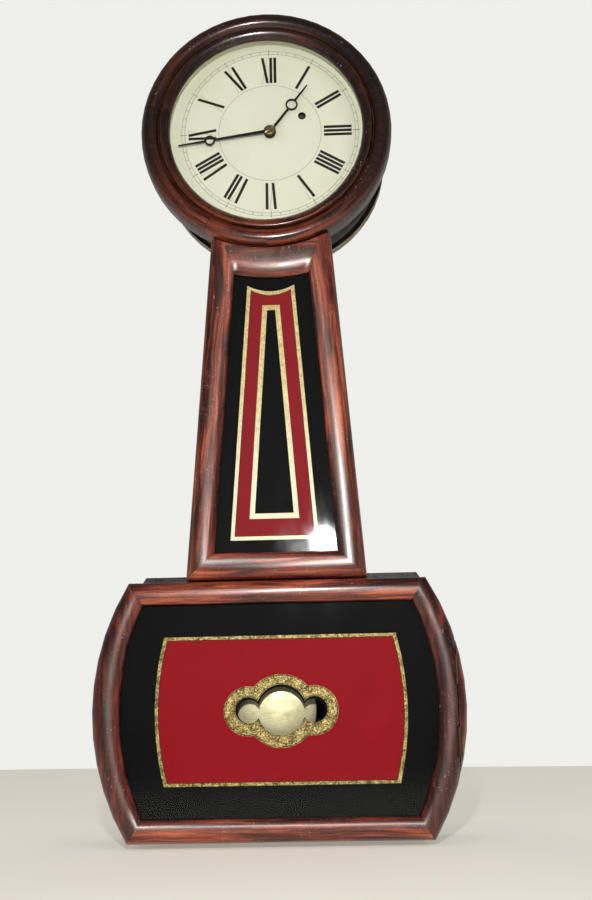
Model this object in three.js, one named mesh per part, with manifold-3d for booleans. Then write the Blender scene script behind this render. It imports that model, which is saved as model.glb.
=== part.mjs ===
// Weight-driven banjo clock: turned head, tapering throat, bow-sided lower box.
// Millimetres, +Z up. The origin is on the wall plane at the dial's axis, and the clock faces -Y.
// A depth is a distance from the wall towards the viewer, so it lies at y = -depth.

import * as THREE from 'three';
import { mergeVertices } from 'three/addons/utils/BufferGeometryUtils.js';
import Module from 'manifold-3d';

const wasm = await Module();
wasm.setup();

// Clearances
const seat_gap = 0.3;
const run_gap = 0.3;
const overrun = 2;

// Case: back board and the depths of the case
const board_thick = 12;
const case_depth = 76;
const head_board_proud = 9;
const board_top_rise = 11.7;
const board_side_proud = 5;
const board_throat_inset = 2;

// Head ring
const ring_radius = 98;
const ring_wall = 10;
const ring_setback = 3;
const bead_proud = 5;
const bead_width = 8;
// Foot bead of the ring: shares of its height above the ring, and of its width
const ring_bead_shares = [[1, 0], [1, 0.5], [0.7, 0.78], [0.3, 0.84], [0.22, 1], [0, 1.3]];
const way_half_width = 40;
const way_setback = 7;
const way_rise = 28;

// Throat
const throat_head_lap = 3;
const throat_foot_gap = 1.5;
const throat_half_top = 52.6;
const throat_half_bottom = 76.7;
const throat_rail_width = 22.5;
const throat_foot_rail = 22.2;
const throat_sight_drop = 47.3;
const throat_frame_thick = 18.2;
const throat_side_inset = 1.2;
const throat_board_thick = 8;
const top_rail_thick = 6.7;
const top_rail_drop = 28;

// Moulding shared by the throat frame and the box door, as shares of its width and thickness
const mould_edge_share = 0.55;
const mould_crest_share = 0.45;
const mould_lip_share = 0.7;
const outer_round_steps = 4;
const inner_round_steps = 3;
const rebate_width = 4;
const glass_thick = 2.5;
const glass_front_below_crest = 7.3;

// Lower box
const box_z_top = -414.1;
const box_height = 212.3;
const box_corner_half = 125.6;
const box_bulge = 29.9;
const door_thick = 18.5;
const door_rail_width = 19;
const door_stile_width = 22.8;
const sight_corner_inset = 12.3;
const sight_bulge_less = 10.8;
const box_side_inset = 1.5;
const box_side_thick = 9;
const box_board_thick = 8;
const throat_way_half = 62;
const throat_way_setback = 6;
const outline_steps = 10;

// Straight hinge line of the box door
const hinge_line_inset = 7.7;
const hinge_joint_gap = 0.8;
const door_knuckle_radius = 1.7;
const door_knuckle_proud = 0.6;
const door_knuckle_length = 12;
const door_hinge_offset_z = 29;
const door_leaf_thick = 0.9;
const door_leaf_depth = 14;
const hinge_pin_radius = 0.8;

// Weight baffle
const baffle_air = 4;
const baffle_thick = 2;
const baffle_drop = 6;

// Hanger plate, let into the back of the head
const hanger_below_ring = 16;
const hanger_width = 34;
const hanger_height = 26;
const hanger_thick = 2;
const hanger_head_radius = 5;
const hanger_slot_radius = 2.6;
const hanger_slot_rise = 7;
const hanger_hollow_depth = 9;

// Dial
const dial_inset = 6;
const dial_thick = 1;
const dial_centre_hole = 5.2;
const winding_hole_radius = 3.75;

// Bezel, the glazed door of the head. It sits a little low and to the left of the dial's axis.
const bezel_x = -2.9;
const bezel_z = -3;
const bezel_air = 0.4;
const bezel_overhang = 16.6;
const bezel_width = 26.6;
const bezel_rebate_width = 4.5;
const bezel_thick = 24;
const bezel_glass_share = 0.621;
const bezel_steps = 56;
// Bezel profile from the rim to the sight: shares of the ring's width and of its thickness
const bezel_profile_shares = [
  [0, 0], [0, 0.5], [0.02, 0.66], [0.08, 0.82], [0.18, 0.94], [0.33, 1], [0.51, 0.93],
  [0.62, 0.7], [0.67, 0.66], [0.71, 0.76], [0.85, 0.81], [1, 0.68],
];
const cope_gap = 2;

// Bezel hinge at the right and catch at the left
const bezel_axis_proud = 1.6;
const bezel_axis_setback = 0.8;
const bezel_knuckle_radius = 1.9;
const bezel_leaf_half = 12;
const bezel_knuckle_half = 4;
const bezel_leaf_thick = 1.2;
const bezel_leaf_length = 14;
const bezel_leaf_reach = 9.4;
const ring_mortise_depth = 1.1;
const catch_thick = 1.3;
const catch_length = 18;
const catch_half_height = 6;
const catch_screw_radius = 2.4;
const catch_screw_proud = 1;

// Movement plates and their fixings: shares of the head's bore, and of the depth of the case
const plate_half_width_share = 0.727;
const plate_bottom_share = -0.568;
const plate_top_share = 0.773;
const plate_corner_share = 0.159;
const pillar_x_share = 0.602;
const pillar_low_share = -0.443;
const pillar_high_share = 0.636;
const movement_screw_x_share = 0.614;
const movement_screw_left_share = 0.114;
const movement_screw_right_share = -0.227;
const pillar_length_share = 0.5;
const plate_thick = 2.5;
const pillar_radius = 2.8;
const pillar_collar_radius = 4.6;
const pillar_collar = 3;
const pivot_radius = 1.1;
const thin_pivot_radius = 0.7;
const arbor_radius = 1.4;
const round_steps = 24;
const hole_steps = 12;
const pin_steps = 8;
const movement_screw_radius = 2;
const movement_screw_head_radius = 4;
const movement_screw_head_thick = 2.4;
const movement_screw_slot = 0.8;
const movement_screw_bite = 8;

// Train: places and modules as shares of the head's bore, and tooth counts
const winding_x_share = 0.3397727;
const winding_z_share = 0.1875;
const third_x_share = -0.1136364;
const escape_radius_share = 0.1761364;
const train_module_share = 0.00625;
const great_teeth = 84;
const great_pinion_leaves = 7;
const centre_teeth = 70;
const third_leaves = 7;
const third_teeth = 56;
const escape_leaves = 7;
const escape_teeth = 30;
const escape_tooth_height = 3.2;
// Raked teeth: shares of the height and of the pitch
const escape_tooth_shares = [[0, -0.36], [1, 0.3], [1, 0.38], [0, 0.24]];
// Places between the plates, as shares of the pillars' length
const great_share = 0.71842;
const centre_wheel_share = 0.52368;
const third_wheel_share = 0.28947;
const escape_wheel_share = 0.88684;
const anchor_share = 0.86842;
const drum_back_share = 0.10526;
const drum_front_share = 0.65789;
const line_share = 0.36842;
const great_thick = 2.2;
const great_pinion_length = 5.6;
const wheel_thick = 1.6;
const pinion_length = 5.4;
const escape_thick = 1.3;
const rim_width = 3.2;
const escape_rim_width = 2.1;
const hub_radius = 4.5;
const arm_half = 1.3;
const great_arms = 5;
const wheel_arms = 4;
const arm_outer_steps = 4;
const arm_inner_steps = 2;

// Tooth forms: heights in modules, half thicknesses as shares of the pitch
const wheel_addendum_share = 0.95;
const wheel_dedendum_share = 1.35;
const pinion_addendum_share = 0.75;
const pinion_dedendum_share = 1.5;
const wheel_root_share = 0.25;
const wheel_tip_share = 0.1;
const pinion_root_share = 0.16;
const pinion_tip_share = 0.1;

// Winding drum with ratchet, click and great arbor
const line_radius = 0.5;
const drum_line_radius = 7.2;
const drum_flange_radius = 10;
const drum_flange_thick = 1.2;
const ratchet_radius = 11;
const ratchet_tooth_height = 1.6;
const ratchet_teeth = 20;
const ratchet_tooth_shares = [[0, 0], [1, 0.92], [1, 0.98]];
const great_arbor_radius = 2.6;
const great_pivot_radius = 1.8;
const collar_radius = 5;
const collar_thick = 1.2;
const square_half = 2.1;
const square_setback = 0.6;
const click_thick = 1.5;
const click_length = 9;
// Click outline: shares of its length outwards from the ratchet, and across
const click_shares = [
  [0, 0.07], [0, 0.24], [0.47, 0.5], [0.96, 0.33], [0.96, -0.6], [0.67, -0.6], [0.58, -0.17],
];
const click_pivot_share = 0.68;
const click_pivot_across_share = 0.08;
const click_spring_rise = 13.5;
const click_spring_width = 1;
const click_spring_start_deg = -52;
const click_spring_end_deg = -7;
const click_spring_steps = 6;
const click_screw_radius = 2.2;

// Weight and line
const pulley_rise = 7.6;
const pulley_flange_proud = 1.7;
const pulley_thick = 5;
const pulley_groove = 2.2;
const pulley_bevel = 0.5;
const pulley_pin_radius = 2;
const yoke_cheek = 1.4;
const yoke_half_width = 5;
const weight_half_width = 30;
const weight_foot_air = 14.4;
const weight_height_share = 0.612341;
const weight_thick = 26;
const weight_bevel = 2;
const stud_radius = 1.5;
const stud_rise = 6;

// Escapement and pendulum
const anchor_thick = 2.7;
const anchor_hub_radius = 3;
const pallet_clear = 1.7;
// Right half of the anchor: hub radii beyond the pallet's tip, and above it; then the arm by the hub
const anchor_pallet_shares = [[0, 0], [1, -0.4], [0.8, 2.2]];
const anchor_arm_shares = [[-0.4, 0.5], [-0.5, -1.2]];
const crutch_collet_radius = 3;
const crutch_thick = 1.6;
const crutch_half_width = 1;
const crutch_pin_share = 0.3181818;
const crutch_pin_radius = 0.9;
const rod_thick = 1.6;
const rod_half_width = 1.8;
const rod_head_half = 3;
const rod_head_drop = 4.2;
const rod_head_height = 6;
const bridle_width = 3.5;
const bridle_bore = 12;
const bridle_joint = 1;
const fork_half_width = 3.6;
const fork_half_height = 5;
const fork_slot_half = 1.3;
const fork_slot_half_height = 3;
const spring_half_thick = 0.15;
const spring_half_width = 2;
const spring_rise = 4.4;
const cock_half_width = 5;
const cock_air = 0.5;
const cock_arm_height = 4.5;
const cock_foot_height = 9;
const cock_foot_thick = 2;
const cock_slot_half = 0.6;
const bob_below_middle = 1.75;
const bob_radius = 40.5;
const bob_thick = 14;
const bob_edge = 2.5;
const bob_channel_half = 2.2;
const nut_radius = 6.5;
const nut_thick = 4.5;
const nut_teeth = 18;
const nut_groove_share = 0.9;
const rod_below_nut = 8;
// The case leans one degree sideways in the photograph, so the plumb pendulum hangs left of its middle
const rest_swing_deg = 0.95;

// Motion work
const cannon_leaves = 12;
const minute_teeth = 36;
const minute_leaves = 10;
const hour_teeth = 40;
const motion_module_share = 0.0068182;
const minute_wheel_angle_deg = 225;
const centre_pivot_radius = 1.1;
const cannon_bore = 1.4;
const cannon_proud = 0.4;
const cannon_pipe_radius = 2;
// Places between the front plate and the dial, as shares of the space there
const crutch_share = 0.0333333;
const cannon_share = 0.05;
const cannon_pinion_share = 0.1333333;
const minute_wheel_share = 0.0666667;
const square_back_share = 0.1111111;
const hour_wheel_share = 0.2166667;
const minute_pinion_share = 0.3333333;
const minute_stud_share = 0.3666667;
const rod_share = 0.5;
const crutch_pin_front_share = 0.6388889;
const cock_front_share = 0.6944444;
const minute_wheel_thick = 1.4;
const minute_stud_radius = 1.2;
const hour_wheel_thick = 1.5;
const pipe_air = 0.4;
const hour_pipe_wall = 1.1;
// Rises of the pipes and hands in front of the dial
const hour_hand_rise = 2.5;
const hour_pipe_rise = 3.6;
const minute_hand_rise = 5.2;

// Hands, as they stand in the photograph: degrees clockwise from twelve
const hour_hand_deg = 37.6;
const minute_hand_deg = 262;
const hand_thick = 1;
const hand_air = 2.8;
const hour_hand_share = 0.6811765;
const hour_ring_share = 0.5820380;
const hour_ring_radius = 5.7;
const hour_ring_hole = 4.3;
const hour_hub_radius = 5.8;
const hour_blade_half = 1.1;
const hour_neck_half = 0.9;
const hour_tip_half = 0.45;
const minute_ring_share = 0.6552941;
const minute_ring_radius = 4.9;
const minute_ring_hole = 3.4;
const minute_hub_radius = 5.6;
const minute_blade_half = 1.5;
const minute_neck_half = 1;
const minute_tip_half = 0.55;
const hub_steps = 14;
const ring_arc_steps = 7;
const hand_boss_share = 0.8;
const hand_boss_thick = 0.7;
const hand_nut_radius = 4.8;
const hand_nut_height = 2.8;
// Domed nut over its washer: shares of the radius and of the height
const hand_nut_shares = [[0, 0], [1, 0], [1, 0.32], [0.92, 0.43], [0.5, 0.43], [0.33, 0.88], [0, 1]];

// Derived places
const frame_back_depth = case_depth + seat_gap;
const throat_front_depth = frame_back_depth + throat_frame_thick;
const door_front_depth = frame_back_depth + door_thick;
const ring_bore_radius = ring_radius - ring_wall;
const ring_front_depth = case_depth - ring_setback;
const bead_radius = ring_radius + bead_proud;
const bead_length = bead_width * ring_bead_shares.at(-1)[1];
const head_board_radius = ring_radius + head_board_proud;
const way_front_depth = case_depth - way_setback;
const way_top_z = way_rise - ring_bore_radius;
const throat_z_top = throat_head_lap - ring_radius;
const throat_sight_arc_radius = ring_radius + throat_sight_drop;
const top_rail_bottom_z = -ring_radius - top_rail_drop;
const throat_way_front = case_depth - throat_way_setback;
const throat_z_bottom = box_z_top + throat_foot_gap;
const throat_sight_bottom = throat_z_bottom + throat_foot_rail;
const throat_taper = (throat_half_bottom - throat_half_top) / (throat_z_top - throat_z_bottom);
const box_z_bottom = box_z_top - box_height;
const box_mid_z = (box_z_top + box_z_bottom) / 2;
const sight_corner_half = box_corner_half - sight_corner_inset;
const sight_bulge = box_bulge - sight_bulge_less;
const hinge_line_x = box_corner_half + box_bulge - hinge_line_inset;
const hanger_z = ring_radius - hanger_below_ring;
const dial_radius = ring_radius - dial_inset;
const dial_front_depth = ring_front_depth + dial_thick;
const bezel_radius = ring_radius + bezel_overhang;
const bezel_sight_radius = bezel_radius - bezel_width;
const bezel_rebate_radius = bezel_sight_radius + bezel_rebate_width;
const bezel_back_depth = dial_front_depth + bezel_air;
const bezel_glass_depth = bezel_back_depth + bezel_thick * bezel_glass_share;
const bezel_axis_x = ring_radius + bezel_axis_proud;
const bezel_axis_depth = ring_front_depth - bezel_axis_setback;
const ring_mortise_x = ring_radius - ring_mortise_depth;

// Derived places in the movement
const plate_half_width = ring_bore_radius * plate_half_width_share;
const plate_bottom_z = ring_bore_radius * plate_bottom_share;
const plate_top_z = ring_bore_radius * plate_top_share;
const plate_corner = ring_bore_radius * plate_corner_share;
const pillar_x = ring_bore_radius * pillar_x_share;
const pillar_low_z = ring_bore_radius * pillar_low_share;
const pillar_high_z = ring_bore_radius * pillar_high_share;
const movement_screw_x = ring_bore_radius * movement_screw_x_share;
const movement_screw_places = [
  [-movement_screw_x, ring_bore_radius * movement_screw_left_share],
  [movement_screw_x, ring_bore_radius * movement_screw_right_share],
];
const pillar_length = case_depth * pillar_length_share;
const back_plate_depth = board_thick + plate_thick;
const front_plate_back = back_plate_depth + pillar_length;
const front_plate_depth = front_plate_back + plate_thick;
const dial_space = ring_front_depth - front_plate_depth;
const between_plates = (share) => back_plate_depth + share * pillar_length;
const before_plate = (share) => front_plate_depth + share * dial_space;
const winding_x = ring_bore_radius * winding_x_share;
const winding_z = ring_bore_radius * winding_z_share;
const winding_distance = Math.hypot(winding_x, winding_z);
const great_module = 2 * winding_distance / (great_teeth + great_pinion_leaves);
const train_module = ring_bore_radius * train_module_share;
const third_x = ring_bore_radius * third_x_share;
const third_distance = train_module * (centre_teeth + third_leaves) / 2;
const third_z = Math.sqrt(third_distance ** 2 - third_x ** 2);
const escape_radius = ring_bore_radius * escape_radius_share;
const escape_distance = train_module * (third_teeth + escape_leaves) / 2;
const escape_z = third_z + Math.sqrt(escape_distance ** 2 - third_x ** 2);
const verge_rise = escape_radius * Math.SQRT2;
const verge_z = escape_z + verge_rise;
const great_back_depth = between_plates(great_share);
const centre_wheel_depth = between_plates(centre_wheel_share);
const third_wheel_depth = between_plates(third_wheel_share);
const escape_wheel_depth = between_plates(escape_wheel_share);
const anchor_depth = between_plates(anchor_share);
const drum_back_depth = between_plates(drum_back_share);
const drum_front_depth = between_plates(drum_front_share);
const line_depth = between_plates(line_share);
const line_x = winding_x - drum_line_radius;
const pulley_flange_radius = line_x + pulley_flange_proud;
const weight_height = box_height * weight_height_share;
const weight_top_z = box_z_bottom + weight_foot_air + weight_height;
const pulley_z = weight_top_z + pulley_flange_radius + pulley_rise;
const bob_z = box_mid_z - bob_below_middle;
const click_spring_radius = ratchet_radius + click_spring_rise;
const stud_z = plate_bottom_z + stud_rise;
const baffle_top_z = -ring_radius - baffle_drop;
const baffle_back_depth = line_depth + weight_thick / 2 + baffle_air;
const bridle_radius = bridle_bore + bridle_width;
const cock_arm_rise = crutch_collet_radius + cock_air;
const crutch_pin_z = ring_bore_radius * crutch_pin_share;
const crutch_back_depth = before_plate(crutch_share);
const crutch_pin_front = before_plate(crutch_pin_front_share);
const rod_depth = before_plate(rod_share);
const cock_front_depth = before_plate(cock_front_share);
const square_back_depth = before_plate(square_back_share);
const square_front_depth = ring_front_depth - square_setback;
const motion_module = ring_bore_radius * motion_module_share;
const motion_distance = motion_module * (cannon_leaves + minute_teeth) / 2;
const hour_module = 2 * motion_distance / (minute_leaves + hour_teeth);
const cannon_back_depth = before_plate(cannon_share);
const cannon_pinion_length = dial_space * cannon_pinion_share;
const minute_wheel_depth = before_plate(minute_wheel_share);
const minute_pinion_front = before_plate(minute_pinion_share);
const minute_stud_front = before_plate(minute_stud_share);
const hour_wheel_depth = before_plate(hour_wheel_share);
const hour_pipe_bore = cannon_pipe_radius + pipe_air;
const hour_pipe_radius = hour_pipe_bore + hour_pipe_wall;
const hour_pipe_front = dial_front_depth + hour_pipe_rise;
const hour_hand_depth = dial_front_depth + hour_hand_rise;
const minute_hand_depth = dial_front_depth + minute_hand_rise;
const cannon_front_depth = minute_hand_depth + cannon_proud;
const minute_hand_length = bezel_sight_radius - hand_air;
const hour_hand_length = minute_hand_length * hour_hand_share;
const hour_hand = {
  length: hour_hand_length, ring_rise: hour_hand_length * hour_ring_share, ring: hour_ring_radius,
  ring_hole: hour_ring_hole, hub: hour_hub_radius, blade: hour_blade_half, neck: hour_neck_half,
  tip: hour_tip_half,
};
const minute_hand = {
  length: minute_hand_length, ring_rise: minute_hand_length * minute_ring_share, ring: minute_ring_radius,
  ring_hole: minute_ring_hole, hub: minute_hub_radius, blade: minute_blade_half, neck: minute_neck_half,
  tip: minute_tip_half,
};
const radians = (deg) => deg * Math.PI / 180;

// Finishes
const finish = (colour, roughness, metalness = 0) =>
  new THREE.MeshStandardMaterial({ color: colour, roughness, metalness });
const finishes = {
  rosewood: () => finish(0x4a1f16, 0.3),
  dark_paint: () => finish(0x2b2b2a, 0.6),
  plain_wood: () => finish(0x7a5a3c, 0.8),
  glass: () => finish(0x1a1c1b, 0.08),
  dial_paint: () => finish(0xe6e6cd, 0.55),
  brass: () => finish(0xc9a24e, 0.35, 1),
  steel: () => finish(0x8d9094, 0.35, 1),
  black_steel: () => finish(0x141414, 0.4, 0.6),
  iron: () => finish(0x3c3d3f, 0.7, 0.5),
  line: () => finish(0x8a7650, 0.8),
};

// Solids: boolean work on closed meshes

function solidOf(geometry) {
  const bare = geometry.clone();
  bare.deleteAttribute('normal');
  bare.deleteAttribute('uv');
  const welded = mergeVertices(bare);
  return new wasm.Manifold(new wasm.Mesh({
    numProp: 3,
    vertProperties: new Float32Array(welded.attributes.position.array),
    triVerts: new Uint32Array(welded.index.array),
  }));
}

function geometryOf(solid) {
  const mesh = solid.getMesh();
  const geometry = new THREE.BufferGeometry();
  geometry.setAttribute('position', new THREE.BufferAttribute(mesh.vertProperties, 3));
  geometry.setIndex(new THREE.BufferAttribute(mesh.triVerts, 1));
  geometry.computeVertexNormals();
  return geometry;
}

function joined(...geometries) {
  return geometryOf(geometries.map(solidOf).reduce((whole, piece) => whole.add(piece)));
}

function cut(geometry, ...tools) {
  return geometryOf(tools.map(solidOf).reduce((whole, tool) => whole.subtract(tool), solidOf(geometry)));
}

function common(geometry, tool) {
  return geometryOf(solidOf(geometry).intersect(solidOf(tool)));
}

// A box between two x, two depths and two heights
function block(x0, x1, depth0, depth1, z0, z1) {
  const geometry = new THREE.BoxGeometry(Math.abs(x1 - x0), Math.abs(depth1 - depth0), Math.abs(z1 - z0));
  return geometry.translate((x0 + x1) / 2, -(depth0 + depth1) / 2, (z0 + z1) / 2);
}

// A round bar along the depth
function rod(x, z, radius, depth0, depth1, steps = hole_steps) {
  const geometry = new THREE.CylinderGeometry(radius, radius, Math.abs(depth1 - depth0), steps);
  return geometry.translate(x, -(depth0 + depth1) / 2, z);
}

// A round bar along the height
function post(x, depth, radius, z0, z1, steps = hole_steps) {
  const geometry = new THREE.CylinderGeometry(radius, radius, Math.abs(z1 - z0), steps);
  return geometry.rotateX(Math.PI / 2).translate(x, -depth, (z0 + z1) / 2);
}

// An outline in x and z, given thickness from one depth to a greater one
function slab(shape, back, front) {
  const geometry = new THREE.ExtrudeGeometry(shape, { depth: front - back, bevelEnabled: false, steps: 1 });
  return geometry.rotateX(Math.PI / 2).translate(0, -back, 0);
}

// A closed profile of [radius, depth] turned about the depth axis at x, z
function turned(profile, steps, x = 0, z = 0) {
  const points = profile.map(([radius, depth]) => new THREE.Vector2(radius, -depth));
  if (THREE.ShapeUtils.area(points) < 0) points.reverse();
  if (points.some((point) => point.x > 0 && points[0].x > 0)) points.push(points[0].clone());
  return new THREE.LatheGeometry(points, steps).translate(x, 0, z);
}

function polygon(points) {
  return new THREE.Shape(points.map(([x, z]) => new THREE.Vector2(x, z)));
}

function circle(x, z, radius, steps = hole_steps, turn = 0) {
  const points = [];
  for (let i = 0; i < steps; i += 1) {
    const angle = turn + i * 2 * Math.PI / steps;
    points.push([x + radius * Math.cos(angle), z + radius * Math.sin(angle)]);
  }
  return points;
}

function withHoles(shape, holes) {
  holes.forEach((points) => shape.holes.push(new THREE.Path(points.map(([x, z]) => new THREE.Vector2(x, z)))));
  return shape;
}

// Points on an arc about x, z, both ends included
function arc(x, z, radius, start, end, steps) {
  return Array.from({ length: steps + 1 }, (_, i) => {
    const angle = start + (end - start) * i / steps;
    return [x + radius * Math.cos(angle), z + radius * Math.sin(angle)];
  });
}

// A mitred frame: each profile point [share, depth] follows its own closed outline
function framed(profile, outlineAt) {
  const rings = profile.map(([share, depth]) => outlineAt(share).map(([x, z]) => [x, -depth, z]));
  const around = rings[0].length;
  const positions = rings.flat(2);
  const index = [];
  rings.forEach((_, r) => {
    const next = (r + 1) % rings.length;
    for (let i = 0; i < around; i += 1) {
      const j = (i + 1) % around;
      index.push(r * around + i, next * around + j, next * around + i);
      index.push(r * around + i, r * around + j, next * around + j);
    }
  });
  const geometry = new THREE.BufferGeometry();
  geometry.setAttribute('position', new THREE.Float32BufferAttribute(positions, 3));
  geometry.setIndex(index);
  geometry.computeVertexNormals();
  return geometry;
}

// Half-round moulding with a rebate for the glass behind its inner edge
function mouldingProfile(thick, rebate_share) {
  const back = frame_back_depth;
  const edge = back + thick * mould_edge_share;
  const crest = back + thick;
  const lip = back + thick * mould_lip_share;
  const profile = [[0, back]];
  for (let i = 0; i <= outer_round_steps; i += 1) {
    const angle = i / outer_round_steps * Math.PI / 2;
    profile.push([mould_crest_share * (1 - Math.cos(angle)), edge + (crest - edge) * Math.sin(angle)]);
  }
  for (let i = 1; i <= inner_round_steps; i += 1) {
    const angle = i / inner_round_steps * Math.PI / 2;
    profile.push(
      [mould_crest_share + (1 - mould_crest_share) * Math.sin(angle), lip + (crest - lip) * Math.cos(angle)],
    );
  }
  const shoulder = crest - glass_front_below_crest;
  profile.push([1, shoulder], [1 - rebate_share, shoulder], [1 - rebate_share, back]);
  return profile;
}

// Throat outline at a share of the rail's width from the outer edge to the sight

function throatHalf(z) {
  return throat_half_top + throat_taper * (throat_z_top - z);
}

// Half angle of an arc about the dial's axis, up to where it meets a side line
function arcSpread(radius, halfAt) {
  let z = -radius;
  for (let i = 0; i < outline_steps; i += 1) z = -Math.sqrt(radius ** 2 - halfAt(z) ** 2);
  return Math.asin(halfAt(z) / radius);
}

function throatOutline(share, inset = 0) {
  const side = share * throat_rail_width + inset;
  const bottom = throat_z_bottom + share * (throat_sight_bottom - throat_z_bottom) + inset;
  const radius = ring_radius + share * (throat_sight_arc_radius - ring_radius) + inset;
  const slope = Math.hypot(1, throat_taper);
  const halfAt = (z) => throatHalf(z) - side * slope;
  const spread = arcSpread(radius, halfAt);
  return [
    [halfAt(bottom), bottom],
    ...arc(0, 0, radius, -Math.PI / 2 + spread, -Math.PI / 2 - spread, outline_steps),
    [-halfAt(bottom), bottom],
  ];
}

// Box outline: level top and bottom, bowed sides

function bowX(z, half, bulge, z_top, z_bottom, inset = 0) {
  const reach = (z_top - z_bottom) / 2;
  const radius = (reach ** 2 + bulge ** 2) / (2 * bulge);
  const middle = (z_top + z_bottom) / 2;
  return half + bulge - radius + Math.sqrt((radius - inset) ** 2 - (z - middle) ** 2);
}

function boxHalf(z, inset = 0) {
  return bowX(z, box_corner_half, box_bulge, box_z_top, box_z_bottom, inset);
}

function bowedOutline(half, bulge, z_top, z_bottom) {
  const heights = Array.from(
    { length: outline_steps + 1 }, (_, i) => z_top + (z_bottom - z_top) * i / outline_steps,
  );
  const right = heights.map((z) => [bowX(z, half, bulge, z_top, z_bottom), z]).reverse();
  const left = heights.map((z) => [-bowX(z, half, bulge, z_top, z_bottom), z]);
  return [...right, ...left];
}

function doorOutline(share, inset = 0) {
  const between = (outer, inner) => outer + share * (inner - outer);
  return bowedOutline(
    between(box_corner_half, sight_corner_half) - inset,
    between(box_bulge, sight_bulge),
    box_z_top - share * door_rail_width - inset,
    box_z_bottom + share * door_rail_width + inset,
  );
}

// Case

function headToThroatPoints() {
  const meet_half = throatHalf(-head_board_radius) - board_throat_inset;
  const meet = Math.asin(meet_half / head_board_radius);
  const steps = bezel_steps * 3 / 4;
  return arc(0, 0, head_board_radius, -Math.PI / 2 + meet, Math.PI * 3 / 2 - meet, steps);
}

function backBoard() {
  const board_top = box_z_top + board_top_rise;
  const throat_foot = throatHalf(board_top) - board_throat_inset;
  const side = (sign) => Array.from({ length: outline_steps + 1 }, (_, i) => {
    const z = board_top + (box_z_bottom - board_top) * i / outline_steps;
    return [sign * (boxHalf(z) + board_side_proud), z];
  });
  const outline = [
    ...headToThroatPoints(),
    [-throat_foot, board_top],
    ...side(-1),
    ...side(1).reverse(),
    [throat_foot, board_top],
  ];
  const board = slab(polygon(outline), 0, board_thick);
  const recess = block(
    -hanger_width / 2 - seat_gap, hanger_width / 2 + seat_gap, -overrun, hanger_thick + seat_gap,
    hanger_z - hanger_height / 2 - seat_gap, hanger_z + hanger_height / 2 + seat_gap,
  );
  const hollow = block(
    -hanger_head_radius, hanger_head_radius, hanger_thick, hanger_hollow_depth,
    hanger_z - hanger_head_radius, hanger_z + hanger_slot_rise + hanger_slot_radius,
  );
  const holes = movement_screw_places.map(([x, z]) =>
    rod(
      x, z, movement_screw_radius + seat_gap, board_thick - movement_screw_bite, board_thick + overrun,
      pin_steps,
    ));
  return cut(board, recess, hollow, ...holes);
}

function headRing() {
  const height = bead_radius - ring_radius;
  const profile = [
    [ring_bore_radius, board_thick],
    ...ring_bead_shares.map(([rise, along]) => [ring_radius + rise * height, board_thick + along * bead_width]),
    [ring_radius, ring_front_depth],
    [ring_bore_radius, ring_front_depth],
  ];
  const way = block(
    -way_half_width, way_half_width, board_thick - overrun, way_front_depth, way_top_z,
    -bead_radius - overrun,
  );
  const mortise = block(
    ring_mortise_x, bead_radius + overrun, ring_front_depth - bezel_leaf_length - seat_gap,
    ring_front_depth + overrun,
    -bezel_leaf_half - seat_gap, bezel_leaf_half + seat_gap,
  );
  return cut(turned(profile, bezel_steps), way, mortise);
}

// Room for the head ring where the throat meets it
function ringRoom() {
  return [
    rod(0, 0, ring_radius + seat_gap, board_thick - overrun, case_depth + overrun, bezel_steps),
    rod(0, 0, bead_radius + seat_gap, board_thick - overrun, board_thick + bead_length + seat_gap, bezel_steps),
  ];
}

// Room for the closed bezel, which laps over the top of the throat
function bezelRoom() {
  return rod(
    bezel_x, bezel_z, bezel_radius + cope_gap, bezel_back_depth - seat_gap, case_depth + overrun,
    bezel_steps,
  );
}

function throatSide(sign) {
  const outer = (z) => throatHalf(z) - throat_side_inset;
  const bottom = box_z_top;
  const outline = [
    [sign * outer(throat_z_top), throat_z_top],
    [sign * (outer(throat_z_top) - throat_board_thick), throat_z_top],
    [sign * (outer(bottom) - throat_board_thick), bottom],
    [sign * outer(bottom), bottom],
  ];
  return cut(slab(polygon(outline), board_thick, case_depth), ...ringRoom(), bezelRoom());
}

function throatInner(z) {
  return throatHalf(z) - throat_side_inset - throat_board_thick - seat_gap;
}

function throatTopRail() {
  const radius = ring_radius + seat_gap;
  const spread = arcSpread(radius, throatInner);
  const outline = [
    ...arc(0, 0, radius, -Math.PI / 2 - spread, -Math.PI / 2 + spread, outline_steps),
    [throatInner(top_rail_bottom_z), top_rail_bottom_z],
    [-throatInner(top_rail_bottom_z), top_rail_bottom_z],
  ];
  return cut(slab(polygon(outline), case_depth - top_rail_thick, case_depth), bezelRoom());
}

function throatFrame() {
  const frame = framed(mouldingProfile(throat_frame_thick, rebate_width / throat_rail_width), throatOutline);
  const cope = rod(
    bezel_x, bezel_z, bezel_radius + cope_gap, frame_back_depth - overrun, throat_front_depth + overrun,
    bezel_steps,
  );
  return cut(frame, cope);
}

function glassDepths(thick) {
  const front = frame_back_depth + thick - glass_front_below_crest - seat_gap;
  return [front - glass_thick, front];
}

function throatGlass() {
  const share = 1 - rebate_width / throat_rail_width;
  return slab(polygon(throatOutline(share, seat_gap)), ...glassDepths(throat_frame_thick));
}

function boxSide(sign) {
  const top = box_z_top - box_board_thick;
  const bottom = box_z_bottom + box_board_thick;
  const heights = Array.from({ length: outline_steps + 1 }, (_, i) => top + (bottom - top) * i / outline_steps);
  const outer = heights.map((z) => [sign * boxHalf(z, box_side_inset), z]);
  const inner = heights.map((z) => [sign * boxHalf(z, box_side_inset + box_side_thick), z]).reverse();
  return slab(polygon([...outer, ...inner]), board_thick, case_depth);
}

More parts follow.
